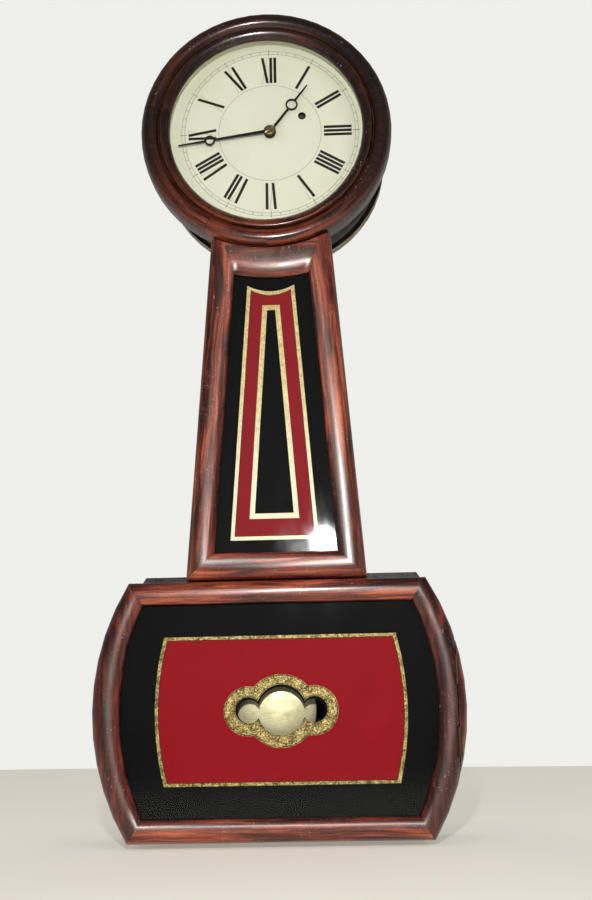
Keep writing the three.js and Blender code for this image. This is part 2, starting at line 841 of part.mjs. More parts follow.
function boxBoard(z_outer, z_inner) {
  const outline = [
    [-boxHalf(z_outer, box_side_inset), z_outer],
    [boxHalf(z_outer, box_side_inset), z_outer],
    [boxHalf(z_inner, box_side_inset), z_inner],
    [-boxHalf(z_inner, box_side_inset), z_inner],
  ];
  return slab(polygon(outline), board_thick, case_depth);
}

function boxTop() {
  const way = block(
    -throat_way_half, throat_way_half, board_thick - overrun, throat_way_front,
    box_z_top + overrun, box_z_top - box_board_thick - overrun,
  );
  return cut(boxBoard(box_z_top, box_z_top - box_board_thick), way);
}

function boxBottom() {
  return boxBoard(box_z_bottom, box_z_bottom + box_board_thick);
}

function weightBaffle() {
  const bottom = box_z_top + seat_gap;
  const outline = [
    [-throatInner(baffle_top_z), baffle_top_z],
    [throatInner(baffle_top_z), baffle_top_z],
    [throatInner(bottom), bottom],
    [-throatInner(bottom), bottom],
  ];
  return slab(polygon(outline), baffle_back_depth, baffle_back_depth + baffle_thick);
}

function hangerPlate() {
  const half = hanger_width / 2;
  const low = hanger_z - hanger_height / 2;
  const high = hanger_z + hanger_height / 2;
  const neck = Math.asin(hanger_slot_radius / hanger_head_radius);
  const keyhole = [
    ...arc(0, hanger_z, hanger_head_radius, Math.PI / 2 + neck, Math.PI * 5 / 2 - neck, outline_steps),
    ...arc(0, hanger_z + hanger_slot_rise, hanger_slot_radius, 0, Math.PI, outline_steps / 2),
  ];
  const plate = withHoles(polygon([[-half, low], [half, low], [half, high], [-half, high]]), [keyhole]);
  return slab(plate, 0, hanger_thick);
}

function dialPlate() {
  const shape = withHoles(polygon(circle(0, 0, dial_radius, bezel_steps)), [
    circle(0, 0, dial_centre_hole, hole_steps),
    circle(winding_x, winding_z, winding_hole_radius),
  ]);
  return slab(shape, ring_front_depth, ring_front_depth + dial_thick);
}

// Bezel

function bezelRing() {
  const width = bezel_radius - bezel_sight_radius;
  const face = bezel_profile_shares.map(
    ([across, out]) => [bezel_radius - across * width, bezel_back_depth + out * bezel_thick],
  );
  const profile = [
    ...face,
    [bezel_sight_radius, bezel_glass_depth + seat_gap],
    [bezel_rebate_radius, bezel_glass_depth + seat_gap],
    [bezel_rebate_radius, bezel_back_depth],
  ];
  const mortise_front = bezel_axis_depth + bezel_knuckle_radius + seat_gap + bezel_leaf_thick / 2;
  const mortise = block(
    bezel_axis_x - bezel_knuckle_radius - run_gap, bezel_axis_x + bezel_leaf_reach + seat_gap,
    bezel_back_depth - overrun, mortise_front,
    -bezel_leaf_half - seat_gap, bezel_leaf_half + seat_gap,
  );
  return cut(turned(profile, bezel_steps, bezel_x, bezel_z), mortise);
}

function bezelGlass() {
  const disc = polygon(circle(bezel_x, bezel_z, bezel_rebate_radius - seat_gap, bezel_steps * 3 / 4));
  return slab(disc, bezel_glass_depth - glass_thick, bezel_glass_depth);
}

// Bezel hinge: the case leaf lies in the ring's side, the door leaf in the bezel's back

function bezelHingeFixed() {
  const depth = bezel_axis_depth;
  const leaf_x = ring_mortise_x + seat_gap;
  const leaf = block(
    leaf_x, leaf_x + bezel_leaf_thick, ring_front_depth - bezel_leaf_length,
    depth - bezel_knuckle_radius - run_gap, -bezel_leaf_half, bezel_leaf_half,
  );
  const ends = [-1, 1].map((sign) => {
    const z0 = sign * bezel_knuckle_half;
    const z1 = sign * bezel_leaf_half;
    const tongue = block(
      leaf_x, leaf_x + bezel_leaf_thick, ring_front_depth - bezel_leaf_length, depth, z0, z1,
    );
    return joined(tongue, post(bezel_axis_x, depth, bezel_knuckle_radius, z0, z1));
  });
  const pin = post(bezel_axis_x, depth, hinge_pin_radius, -bezel_leaf_half, bezel_leaf_half, hole_steps / 2);
  return joined(leaf, ...ends, pin);
}

function bezelHingeMoving() {
  const depth = bezel_axis_depth;
  const half = bezel_knuckle_half - run_gap;
  const front = depth + bezel_knuckle_radius + bezel_leaf_thick / 2;
  const clear_x = bezel_axis_x + bezel_knuckle_radius + run_gap;
  const leaf = block(
    clear_x, bezel_axis_x + bezel_leaf_reach, front - bezel_leaf_thick, front, -bezel_leaf_half,
    bezel_leaf_half,
  );
  const tongue = block(bezel_axis_x, clear_x + overrun, front - bezel_leaf_thick, front, -half, half);
  const knuckle = post(bezel_axis_x, depth, bezel_knuckle_radius, -half, half);
  const bore = post(bezel_axis_x, depth, hinge_pin_radius + run_gap, -half - overrun, half + overrun);
  return cut(joined(leaf, tongue, knuckle), bore);
}

// A spring leaf with its screw head, standing on a face whose normal is along x
function springCatch(face_x, sign, front_depth, z) {
  const leaf = block(
    face_x, face_x + sign * catch_thick, front_depth - catch_length, front_depth,
    z - catch_half_height, z + catch_half_height,
  );
  const head = new THREE.CylinderGeometry(
    catch_screw_radius, catch_screw_radius, catch_screw_proud + catch_thick, hole_steps,
  );
  head.rotateZ(Math.PI / 2);
  head.translate(
    face_x + sign * (catch_screw_proud + catch_thick) / 2, -(front_depth - catch_length * 3 / 4), z,
  );
  return joined(leaf, head);
}

// Box door and the fixed stile beside its straight hinge line

function doorMoulding() {
  return framed(mouldingProfile(door_thick, rebate_width / door_stile_width), doorOutline);
}

const door_axis_depth = door_front_depth + door_knuckle_proud;
const door_hinge_heights = [1, -1].map((sign) => box_mid_z + sign * door_hinge_offset_z);

function hingeRoom(sign) {
  const leaf_x = hinge_line_x + sign * hinge_joint_gap / 2;
  return door_hinge_heights.flatMap((z) => [
    post(
      hinge_line_x, door_axis_depth, door_knuckle_radius + run_gap, z - door_knuckle_length - run_gap,
      z + door_knuckle_length + run_gap,
    ),
    block(
      leaf_x - sign * overrun, leaf_x + sign * (door_leaf_thick + seat_gap),
      door_axis_depth - door_leaf_depth - seat_gap, door_axis_depth + overrun,
      z - door_knuckle_length - run_gap, z + door_knuckle_length + run_gap,
    ),
  ]);
}

function doorSide(sign) {
  const edge = hinge_line_x + sign * hinge_joint_gap / 2;
  const far = sign * (box_corner_half + box_bulge) * 2;
  const room = block(
    edge, far, frame_back_depth - overrun, door_front_depth + overrun, box_z_bottom - overrun,
    box_z_top + overrun,
  );
  return cut(common(doorMoulding(), room), ...hingeRoom(sign));
}

function doorGlass() {
  const share = 1 - rebate_width / door_stile_width;
  return slab(polygon(doorOutline(share, seat_gap)), ...glassDepths(door_thick));
}

// Leaf of a door hinge: its knuckle takes the upper or the lower half
function doorHingeLeaf(sign, z) {
  const moving = sign < 0;
  const low = moving ? z + run_gap / 2 : z - door_knuckle_length;
  const high = moving ? z + door_knuckle_length : z - run_gap / 2;
  const leaf_x = hinge_line_x + sign * (hinge_joint_gap / 2 + seat_gap / 3);
  const back = door_axis_depth - door_leaf_depth;
  const plate = block(
    leaf_x, leaf_x + sign * door_leaf_thick, back, door_axis_depth - door_knuckle_radius - run_gap,
    z - door_knuckle_length, z + door_knuckle_length,
  );
  const tongue = block(leaf_x, leaf_x + sign * door_leaf_thick, back, door_axis_depth, low, high);
  const knuckle = post(hinge_line_x, door_axis_depth, door_knuckle_radius, low, high);
  const leaf = joined(plate, tongue, knuckle);
  if (moving) {
    return cut(
      leaf, post(hinge_line_x, door_axis_depth, hinge_pin_radius + run_gap, low - overrun, high + overrun),
    );
  }
  return joined(
    leaf,
    post(hinge_line_x, door_axis_depth, hinge_pin_radius, low, z + door_knuckle_length, hole_steps / 2),
  );
}

// Gears

function toothedOutline(teeth, points, turn) {
  const outline = [];
  const step = 2 * Math.PI / teeth;
  for (let i = 0; i < teeth; i += 1) {
    points.forEach(([radius, share]) => {
      const angle = turn + (i + share) * step;
      outline.push([radius * Math.cos(angle), radius * Math.sin(angle)]);
    });
  }
  return outline;
}

function wheelOutline(teeth, module, turn) {
  const pitch = teeth * module / 2;
  const root = pitch - wheel_dedendum_share * module;
  const tip = pitch + wheel_addendum_share * module;
  const points = [
    [root, -wheel_root_share], [tip, -wheel_tip_share], [tip, wheel_tip_share], [root, wheel_root_share],
  ];
  return toothedOutline(teeth, points, turn);
}

function pinionOutline(leaves, module, turn) {
  const pitch = leaves * module / 2;
  const root = pitch - pinion_dedendum_share * module;
  const tip = pitch + pinion_addendum_share * module;
  const points = [
    [root, -pinion_root_share], [tip, -pinion_tip_share], [tip, pinion_tip_share],
    [root, pinion_root_share],
  ];
  return toothedOutline(leaves, points, turn);
}

// The turn that brings a tooth, or a gap, to face an angle
const toothTo = (angle) => angle;
const gapTo = (angle, teeth) => angle - Math.PI / teeth;

// Openings between the arms of a wheel
function crossings(arms, inner, outer) {
  return Array.from({ length: arms }, (_, k) => {
    const start = k * 2 * Math.PI / arms;
    const end = start + 2 * Math.PI / arms;
    const out_gap = Math.asin(arm_half / outer);
    const in_gap = Math.asin(arm_half / inner);
    return [
      ...arc(0, 0, outer, start + out_gap, end - out_gap, arm_outer_steps),
      ...arc(0, 0, inner, end - in_gap, start + in_gap, arm_inner_steps),
    ];
  });
}

function wheelPlate(outline, pitch_radius, module, arms, back, thick) {
  const rim = pitch_radius - wheel_dedendum_share * module - rim_width;
  return slab(withHoles(polygon(outline), crossings(arms, hub_radius, rim)), back, back + thick);
}

// A thin arbor with its pivots in the two plates
function thinArbor() {
  return joined(
    rod(0, 0, pivot_radius, back_plate_depth + run_gap, front_plate_back - run_gap, pin_steps),
    rod(0, 0, thin_pivot_radius, board_thick + run_gap, front_plate_depth - run_gap, pin_steps),
  );
}

const centre_angle_from_great = Math.atan2(-winding_z, -winding_x);
const third_angle = Math.atan2(third_z, third_x);
const escape_angle = Math.atan2(escape_z - third_z, -third_x);

function greatWheel() {
  const pitch = great_teeth * great_module / 2;
  const outline = wheelOutline(great_teeth, great_module, toothTo(centre_angle_from_great));
  const plate = wheelPlate(outline, pitch, great_module, great_arms, great_back_depth, great_thick);
  const hub = rod(0, 0, hub_radius, great_back_depth, great_back_depth + great_thick);
  return cut(
    joined(plate, hub),
    rod(
      0, 0, great_arbor_radius + run_gap, great_back_depth - overrun,
      great_back_depth + great_thick + overrun,
    ),
  );
}

function centreWheel() {
  const pinion_mid = great_back_depth + great_thick / 2;
  const leaves = pinionOutline(
    great_pinion_leaves, great_module, gapTo(centre_angle_from_great + Math.PI, great_pinion_leaves),
  );
  const outline = wheelOutline(centre_teeth, train_module, toothTo(third_angle));
  return joined(
    wheelPlate(
      outline, centre_teeth * train_module / 2, train_module, wheel_arms, centre_wheel_depth, wheel_thick,
    ),
    slab(polygon(leaves), pinion_mid - great_pinion_length / 2, pinion_mid + great_pinion_length / 2),
    rod(0, 0, arbor_radius, back_plate_depth + run_gap, front_plate_back - run_gap, pin_steps),
    rod(0, 0, centre_pivot_radius, board_thick + run_gap, cannon_front_depth, pin_steps),
  );
}

function thirdWheel() {
  const leaves = pinionOutline(third_leaves, train_module, gapTo(third_angle + Math.PI, third_leaves));
  const outline = wheelOutline(third_teeth, train_module, toothTo(escape_angle));
  const pinion_mid = centre_wheel_depth + wheel_thick / 2;
  return joined(
    wheelPlate(
      outline, third_teeth * train_module / 2, train_module, wheel_arms, third_wheel_depth, wheel_thick,
    ),
    slab(polygon(leaves), pinion_mid - pinion_length / 2, pinion_mid + pinion_length / 2),
    thinArbor(),
  );
}

// Points of a raked tooth: shares of its height and of its pitch
function rakedPoints(radius, height, shares) {
  return shares.map(([rise, along]) => [radius - height + rise * height, along]);
}

function escapeWheel() {
  const leaves = pinionOutline(escape_leaves, train_module, gapTo(escape_angle + Math.PI, escape_leaves));
  const inner_rim = escape_radius - escape_tooth_height - escape_rim_width;
  const teeth = toothedOutline(
    escape_teeth, rakedPoints(escape_radius, escape_tooth_height, escape_tooth_shares), 0,
  );
  const plate = slab(
    withHoles(polygon(teeth), crossings(wheel_arms, hub_radius, inner_rim)),
    escape_wheel_depth, escape_wheel_depth + escape_thick,
  );
  const pinion_mid = third_wheel_depth + wheel_thick / 2;
  return joined(
    plate,
    slab(polygon(leaves), pinion_mid - pinion_length / 2, pinion_mid + pinion_length / 2),
    thinArbor(),
  );
}

// Winding drum, ratchet and great arbor in one piece

function windingDrum() {
  const core = drum_line_radius - line_radius - run_gap;
  const teeth = toothedOutline(
    ratchet_teeth, rakedPoints(ratchet_radius, ratchet_tooth_height, ratchet_tooth_shares), 0,
  );
  const flange = (depth) => rod(0, 0, drum_flange_radius, depth, depth + drum_flange_thick, round_steps);
  const ratchet_back = drum_front_depth;
  const great_front = great_back_depth + great_thick;
  const square = block(
    -square_half, square_half, square_back_depth - overrun, square_front_depth, -square_half, square_half,
  );
  return joined(
    rod(0, 0, core, drum_back_depth, ratchet_back, round_steps),
    flange(drum_back_depth),
    flange(ratchet_back - drum_flange_thick),
    slab(polygon(teeth), ratchet_back, great_back_depth - run_gap),
    rod(0, 0, great_arbor_radius, back_plate_depth + run_gap, square_back_depth),
    rod(0, 0, great_pivot_radius, board_thick + run_gap, back_plate_depth + overrun),
    rod(0, 0, collar_radius, great_front + run_gap, great_front + run_gap + collar_thick),
    square,
  );
}

// Click: its beak rests just clear of the ratchet, its tail on the spring
function clickPawl() {
  const back = great_back_depth - run_gap - click_thick;
  const tip = ratchet_radius + run_gap;
  const outline = click_shares.map(([out, across]) => [tip + out * click_length, across * click_length]);
  const screw = rod(
    tip + click_pivot_share * click_length, click_pivot_across_share * click_length,
    click_screw_radius, back - click_thick / 2, great_back_depth - run_gap,
  );
  return joined(slab(polygon(outline), back, great_back_depth - run_gap), screw);
}

function clickSpring() {
  const inner = click_spring_radius - click_spring_width;
  const start = radians(click_spring_start_deg);
  const end = radians(click_spring_end_deg);
  const front = great_back_depth - run_gap;
  const back = front - click_thick;
  const outline = [
    ...arc(0, 0, click_spring_radius, start, end, click_spring_steps),
    ...arc(0, 0, inner, end, start, click_spring_steps),
  ];
  const foot_x = click_spring_radius * Math.cos(start);
  const foot_z = click_spring_radius * Math.sin(start);
  return joined(slab(polygon(outline), back, front), rod(foot_x, foot_z, click_screw_radius, back, front));
}

// Weight, yoke, pulley and line

function weightBlock() {
  const low = weight_top_z - weight_height;
  const shape = polygon([
    [-weight_half_width + weight_bevel, low + weight_bevel],
    [weight_half_width - weight_bevel, low + weight_bevel],
    [weight_half_width - weight_bevel, weight_top_z - weight_bevel],
    [-weight_half_width + weight_bevel, weight_top_z - weight_bevel],
  ]);
  const geometry = new THREE.ExtrudeGeometry(shape, {
    depth: weight_thick - 2 * weight_bevel, bevelEnabled: true, bevelThickness: weight_bevel,
    bevelSize: weight_bevel, bevelSegments: 1, steps: 1,
  });
  return geometry.rotateX(Math.PI / 2).translate(0, -line_depth + weight_thick / 2 - weight_bevel, 0);
}

function pulleyYoke() {
  const outside = pulley_thick / 2 + run_gap + yoke_cheek;
  const bar_top = pulley_z - pulley_flange_radius - run_gap * 2;
  const bar_low = weight_top_z + seat_gap;
  const cheeks = [-1, 1].map((sign) => {
    const inside = line_depth + sign * (pulley_thick / 2 + run_gap);
    const face = line_depth + sign * outside;
    return joined(
      block(-yoke_half_width, yoke_half_width, inside, face, bar_low, pulley_z),
      rod(0, pulley_z, yoke_half_width, inside, face),
    );
  });
  const bar = block(
    -yoke_half_width, yoke_half_width, line_depth - outside, line_depth + outside, bar_low, bar_top,
  );
  return joined(
    ...cheeks, bar, rod(0, pulley_z, pulley_pin_radius, line_depth - outside, line_depth + outside),
  );
}

function pulleyWheel() {
  const half = pulley_thick / 2;
  const groove = pulley_groove / 2;
  const floor = line_x - line_radius - run_gap;
  const bore = pulley_pin_radius + run_gap;
  const profile = [
    [bore, line_depth - half], [pulley_flange_radius, line_depth - half],
    [pulley_flange_radius, line_depth - groove - pulley_bevel],
    [floor, line_depth - groove], [floor, line_depth + groove],
    [pulley_flange_radius, line_depth + groove + pulley_bevel],
    [pulley_flange_radius, line_depth + half], [bore, line_depth + half],
  ];
  return turned(profile, round_steps, 0, pulley_z);
}

function weightLine() {
  const stud_seat = stud_z - stud_radius - seat_gap;
  const bend = new THREE.EllipseCurve(0, 0, line_x, line_x, Math.PI, 2 * Math.PI);
  const points = bend.getPoints(hole_steps).map((point) => new THREE.Vector3(point.x, -line_depth, pulley_z + point.y));
  const section = polygon(circle(0, 0, line_radius, pin_steps));
  const path = new THREE.CatmullRomCurve3(points);
  const loop = new THREE.ExtrudeGeometry(
    section, { extrudePath: path, steps: hole_steps, bevelEnabled: false },
  );
  return joined(
    loop,
    post(line_x, line_depth, line_radius, pulley_z - line_radius, winding_z, pin_steps),
    post(-line_x, line_depth, line_radius, pulley_z - line_radius, stud_seat, pin_steps),
  );
}

// Movement frame

const arbor_places = [
  [winding_x, winding_z, great_pivot_radius, great_arbor_radius],
  [0, 0, centre_pivot_radius, centre_pivot_radius],
  [third_x, third_z, thin_pivot_radius, thin_pivot_radius],
  [0, escape_z, thin_pivot_radius, thin_pivot_radius],
  [0, verge_z, thin_pivot_radius, pivot_radius],
];
const minute_wheel_angle = radians(minute_wheel_angle_deg);
const minute_x = motion_distance * Math.cos(minute_wheel_angle);
const minute_z = motion_distance * Math.sin(minute_wheel_angle);

function plateShape(radius_at) {
  const x = plate_half_width;
  const c = plate_corner;
  const outline = [
    [-x + c, plate_bottom_z], [x - c, plate_bottom_z], [x, plate_bottom_z + c], [x, plate_top_z - c],
    [x - c, plate_top_z], [-x + c, plate_top_z], [-x, plate_top_z - c], [-x, plate_bottom_z + c],
  ];
  const holes = arbor_places.map((place) => circle(place[0], place[1], place[radius_at] + run_gap, pin_steps));
  const screws = movement_screw_places.map(
    ([sx, sz]) => circle(sx, sz, movement_screw_radius + seat_gap, pin_steps),
  );
  return withHoles(polygon(outline), [...holes, ...screws]);
}

function backPlate() {
  return slab(plateShape(2), board_thick, back_plate_depth);
}

function frontPlate() {
  const stud = rod(minute_x, minute_z, minute_stud_radius, front_plate_back, minute_stud_front);
  return joined(slab(plateShape(3), front_plate_back, front_plate_depth), stud);
}

function pillar(x, z) {
  const back = back_plate_depth;
  const front = front_plate_back;
  const profile = [
    [0, back], [pillar_collar_radius, back], [pillar_collar_radius, back + pillar_collar],
    [pillar_radius, back + 2 * pillar_collar],
    [pillar_radius, front - 2 * pillar_collar], [pillar_collar_radius, front - pillar_collar],
    [pillar_collar_radius, front], [0, front],
  ];
  return turned(profile, hole_steps, x, z);
}

function movementScrew([x, z]) {
  const head_back = front_plate_depth + seat_gap;
  const head = rod(x, z, movement_screw_head_radius, head_back, head_back + movement_screw_head_thick);
  const tip = board_thick - movement_screw_bite + seat_gap;
  const shank = rod(x, z, movement_screw_radius, tip, head_back + seat_gap, pin_steps);
  const slot = block(
    x - movement_screw_head_radius - overrun, x + movement_screw_head_radius + overrun,
    head_back + movement_screw_head_thick / 2, head_back + movement_screw_head_thick + overrun,
    z - movement_screw_slot / 2, z + movement_screw_slot / 2,
  );
  return cut(joined(head, shank), slot);
}

function pendulumCock() {
  const low = verge_z + cock_arm_rise;
  const foot = block(
    -cock_half_width, cock_half_width, front_plate_depth, front_plate_depth + cock_foot_thick, low,
    low + cock_foot_height,
  );
  const arm = block(
    -cock_half_width, cock_half_width, front_plate_depth, cock_front_depth, low, low + cock_arm_height,
  );
  const slot = block(
    -cock_slot_half, cock_slot_half, rod_depth - spring_half_width - run_gap,
    rod_depth + spring_half_width + run_gap,
    low - overrun, verge_z + spring_rise + run_gap * 2,
  );
  return cut(joined(foot, arm), slot);
}

function lineStud() {
  return rod(-line_x, stud_z, stud_radius, back_plate_depth, front_plate_back);
}

// Escapement and pendulum, drawn about the verge axis

function anchorPiece() {
  const reach = escape_radius + pallet_clear;
  const tip_x = reach * Math.SQRT1_2;
  const tip_z = tip_x - verge_rise;
  const hub = anchor_hub_radius;
  const pallet = anchor_pallet_shares.map(([out, up]) => [tip_x + out * hub, tip_z + up * hub]);
  const [upper, lower] = anchor_arm_shares.map(([out, up]) => [tip_x + out * hub, up * hub]);
  const mirrored = (points) => points.map(([x, z]) => [-x, z]).reverse();
  const outline = [
    ...pallet, upper, [hub, hub], ...mirrored([...pallet, upper, [hub, hub]]), ...mirrored([lower]),
    [0, -hub], lower,
  ];
  return joined(
    slab(polygon(outline), anchor_depth, anchor_depth + anchor_thick),
    rod(
      0, 0, pivot_radius, back_plate_depth + run_gap, crutch_back_depth + crutch_thick + overrun / 2,
      pin_steps,
    ),
    rod(0, 0, thin_pivot_radius, board_thick + run_gap, back_plate_depth + overrun, pin_steps),
  );
}

function crutchPiece() {
  const back = crutch_back_depth;
  const drop = crutch_pin_z - verge_z;
  const collet = rod(0, 0, crutch_collet_radius, back, back + crutch_thick);
  const arm = block(
    -crutch_half_width, crutch_half_width, back, back + crutch_thick, drop - crutch_half_width,
    -crutch_collet_radius / 2,
  );
  const pin = rod(0, drop, crutch_pin_radius, back, crutch_pin_front, pin_steps);
  const bore = rod(0, 0, pivot_radius + seat_gap, back - overrun, back + crutch_thick + overrun, pin_steps);
  return cut(joined(collet, arm, pin), bore);
}

function suspensionSpring() {
  return block(
    -spring_half_thick, spring_half_thick, rod_depth - spring_half_width, rod_depth + spring_half_width,
    -rod_head_drop + seat_gap, spring_rise,
  );
}

function pendulumRod() {
  const back = rod_depth - rod_thick / 2;
  const front = rod_depth + rod_thick / 2;
  const fork_z = crutch_pin_z - verge_z;
  const ring_z = -verge_z;
  const foot_z = bob_z - verge_z - bob_radius - nut_thick - rod_below_nut;
  const overlap = bridle_bore + bridle_joint;
  const strap = block(-rod_half_width, rod_half_width, back, front, foot_z, ring_z - overlap);
  const upper = block(-rod_half_width, rod_half_width, back, front, ring_z + overlap, -rod_head_drop);
  const head = block(
    -rod_head_half, rod_head_half, rod_depth - spring_half_width, rod_depth + spring_half_width,
    -rod_head_drop - rod_head_height, -rod_head_drop,
  );
  const fork = block(
    -fork_half_width, fork_half_width, back, front, fork_z - fork_half_height, fork_z + fork_half_height,
  );
  const rings = [bridle_radius, bridle_bore].map((radius) => circle(0, ring_z, radius, round_steps));
  const bridle = slab(withHoles(polygon(rings[0]), [rings[1]]), back, front);
  const slot = block(
    -fork_slot_half, fork_slot_half, back - overrun, front + overrun,
    fork_z - fork_slot_half_height, fork_z + fork_slot_half_height,
  );
  return cut(joined(strap, upper, head, fork, bridle), slot);
}

function pendulumBob() {
  const front = rod_depth + bob_thick / 2;
  const back = rod_depth - bob_thick / 2;
  const profile = [
    [0, back], [bob_radius - bob_edge, back], [bob_radius, back + bob_edge], [bob_radius, front - bob_edge / 2],
    [bob_radius - bob_edge / 2, front], [0, front],
  ];
  const channel = block(
    -bob_channel_half, bob_channel_half, rod_depth - rod_thick / 2 - seat_gap,
    rod_depth + rod_thick / 2 + seat_gap,
    bob_z - verge_z - bob_radius - overrun, bob_z - verge_z + bob_radius + overrun,
  );
  return cut(turned(profile, bezel_steps * 3 / 4, 0, bob_z - verge_z), channel);
}

function ratingNut() {
  const top = bob_z - verge_z - bob_radius - seat_gap;
  const rim = [];
  for (let i = 0; i < 2 * nut_teeth; i += 1) {
    const radius = nut_radius * (i % 2 ? nut_groove_share : 1);
    rim.push([radius * Math.cos(Math.PI * i / nut_teeth), radius * Math.sin(Math.PI * i / nut_teeth)]);
  }
  const shape = withHoles(polygon(rim), [circle(0, 0, Math.hypot(rod_half_width, rod_thick / 2) + run_gap)]);
  const geometry = new THREE.ExtrudeGeometry(shape, { depth: nut_thick, bevelEnabled: false, steps: 1 });
  return geometry.translate(0, -rod_depth, top - nut_thick);
}

// Motion work

function cannonPinion() {
  const leaves = pinionOutline(cannon_leaves, motion_module, gapTo(minute_wheel_angle, cannon_leaves));
  const pinion_front = cannon_back_depth + cannon_pinion_length;
  const whole = joined(
    slab(polygon(leaves), cannon_back_depth, pinion_front),
    rod(0, 0, cannon_pipe_radius, cannon_back_depth, cannon_front_depth + seat_gap),
  );
  return cut(whole, rod(0, 0, cannon_bore, cannon_back_depth - overrun, cannon_front_depth + overrun));
}

function minuteWheel() {
  const back = minute_wheel_depth;
  const toward = minute_wheel_angle + Math.PI;
  const teeth = wheelOutline(minute_teeth, motion_module, toothTo(toward));
  const leaves = pinionOutline(minute_leaves, hour_module, gapTo(toward, minute_leaves));
  const whole = joined(
    slab(polygon(teeth), back, back + minute_wheel_thick),
    slab(polygon(leaves), back + minute_wheel_thick / 2, minute_pinion_front),
  );
  return cut(whole, rod(0, 0, minute_stud_radius + run_gap, back - overrun, minute_pinion_front + overrun));
}

function hourWheel() {
  const back = hour_wheel_depth;
  const teeth = wheelOutline(hour_teeth, hour_module, toothTo(minute_wheel_angle));
  const whole = joined(
    slab(polygon(teeth), back, back + hour_wheel_thick),
    rod(0, 0, hour_pipe_radius, back, hour_pipe_front),
  );
  return cut(whole, rod(0, 0, hour_pipe_bore, back - overrun, hour_pipe_front + overrun));
}

// Open-ring hand drawn upwards from its hub
function handOutline(hand) {
  const neck = Math.asin(hand.neck / hand.ring);
  const hub_gap = Math.asin(hand.blade / hand.hub);
  return [
    ...arc(0, 0, hand.hub, Math.PI / 2 + hub_gap, Math.PI * 5 / 2 - hub_gap, hub_steps),
    ...arc(0, hand.ring_rise, hand.ring, -Math.PI / 2 + neck, Math.PI / 2 - neck, ring_arc_steps),
    [hand.tip, hand.length],
    [-hand.tip, hand.length],
    ...arc(0, hand.ring_rise, hand.ring, Math.PI / 2 + neck, Math.PI * 3 / 2 - neck, ring_arc_steps),
  ];
}

function handPiece(hand, depth, bore, clockwise_deg) {
  const shape = withHoles(polygon(handOutline(hand)), [
    circle(0, 0, bore),
    circle(0, hand.ring_rise, hand.ring_hole, 2 * ring_arc_steps),
  ]);
  const boss = withHoles(polygon(circle(0, 0, hand.hub * hand_boss_share)), [circle(0, 0, bore)]);
  const proud = hand_boss_thick / 2;
  const whole = joined(
    slab(shape, depth, depth + hand_thick), slab(boss, depth - proud, depth + hand_thick + proud),
  );
  return whole.rotateY(radians(clockwise_deg));
}

function handNut() {
  const back = minute_hand_depth + hand_thick + hand_boss_thick / 2 + seat_gap;
  const profile = hand_nut_shares.map(([out, up]) => [out * hand_nut_radius, back + up * hand_nut_height]);
  return turned(profile, round_steps);
}

// Assembly

const clock = new THREE.Group();

function add(name, geometry, look, parent = clock) {
  const mesh = new THREE.Mesh(geometry, finishes[look]());
  mesh.name = name;
  parent.add(mesh);
  return mesh;
}

function groupAt(x, z, turn_deg = 0) {
  const group = new THREE.Group();
  group.position.set(x, 0, z);
  group.rotation.y = radians(turn_deg);
  clock.add(group);
  return group;
}

add('back_board', backBoard(), 'plain_wood');
add('head_ring', headRing(), 'dark_paint');
add('throat_side_left', throatSide(-1), 'rosewood');
add('throat_side_right', throatSide(1), 'rosewood');
add('throat_top_rail', throatTopRail(), 'plain_wood');
add('throat_frame', throatFrame(), 'rosewood');
add('throat_glass', throatGlass(), 'glass');
add('box_side_left', boxSide(-1), 'rosewood');
add('box_side_right', boxSide(1), 'rosewood');
add('box_top', boxTop(), 'rosewood');
add('box_bottom', boxBottom(), 'rosewood');
add('hinge_stile', doorSide(1), 'rosewood');
add('weight_baffle', weightBaffle(), 'plain_wood');
add('hanger_plate', hangerPlate(), 'iron');
add('dial', dialPlate(), 'dial_paint');

add('bezel_ring', bezelRing(), 'rosewood');
add('bezel_glass', bezelGlass(), 'glass');
add('bezel_hinge_fixed', bezelHingeFixed(), 'brass');
add('bezel_hinge_moving', bezelHingeMoving(), 'brass');
add('bezel_catch', springCatch(-ring_radius - seat_gap, -1, bezel_back_depth - seat_gap, 0), 'brass');

add('door_frame', doorSide(-1), 'rosewood');
add('door_glass', doorGlass(), 'glass');
door_hinge_heights.forEach((z, i) => {
  const where = i ? 'lower' : 'upper';
  add(`door_hinge_fixed_${where}`, doorHingeLeaf(1, z), 'brass');
  add(`door_hinge_moving_${where}`, doorHingeLeaf(-1, z), 'brass');
});
const catch_x = boxHalf(box_mid_z + catch_half_height, box_side_inset + box_side_thick) - seat_gap;
add('door_catch', springCatch(-catch_x, 1, case_depth, box_mid_z), 'brass');

add('back_plate', backPlate(), 'brass');
add('front_plate', frontPlate(), 'brass');
[[-pillar_x, pillar_low_z], [pillar_x, pillar_low_z], [-pillar_x, pillar_high_z], [pillar_x, pillar_high_z]]
  .forEach(([x, z], i) => add(`pillar_${i + 1}`, pillar(x, z), 'brass'));
movement_screw_places.forEach((place, i) => add(`movement_screw_${i + 1}`, movementScrew(place), 'steel'));
add('pendulum_cock', pendulumCock(), 'brass');
add('line_stud', lineStud(), 'steel');

const great_axis = groupAt(winding_x, winding_z);
add('great_wheel', greatWheel(), 'brass', great_axis);
add('click', clickPawl(), 'steel', great_axis);
add('click_spring', clickSpring(), 'steel', great_axis);
add('winding_drum', windingDrum(), 'brass', great_axis);
add('centre_wheel', centreWheel(), 'brass');
add('third_wheel', thirdWheel(), 'brass', groupAt(third_x, third_z));
add('escape_wheel', escapeWheel(), 'brass', groupAt(0, escape_z));

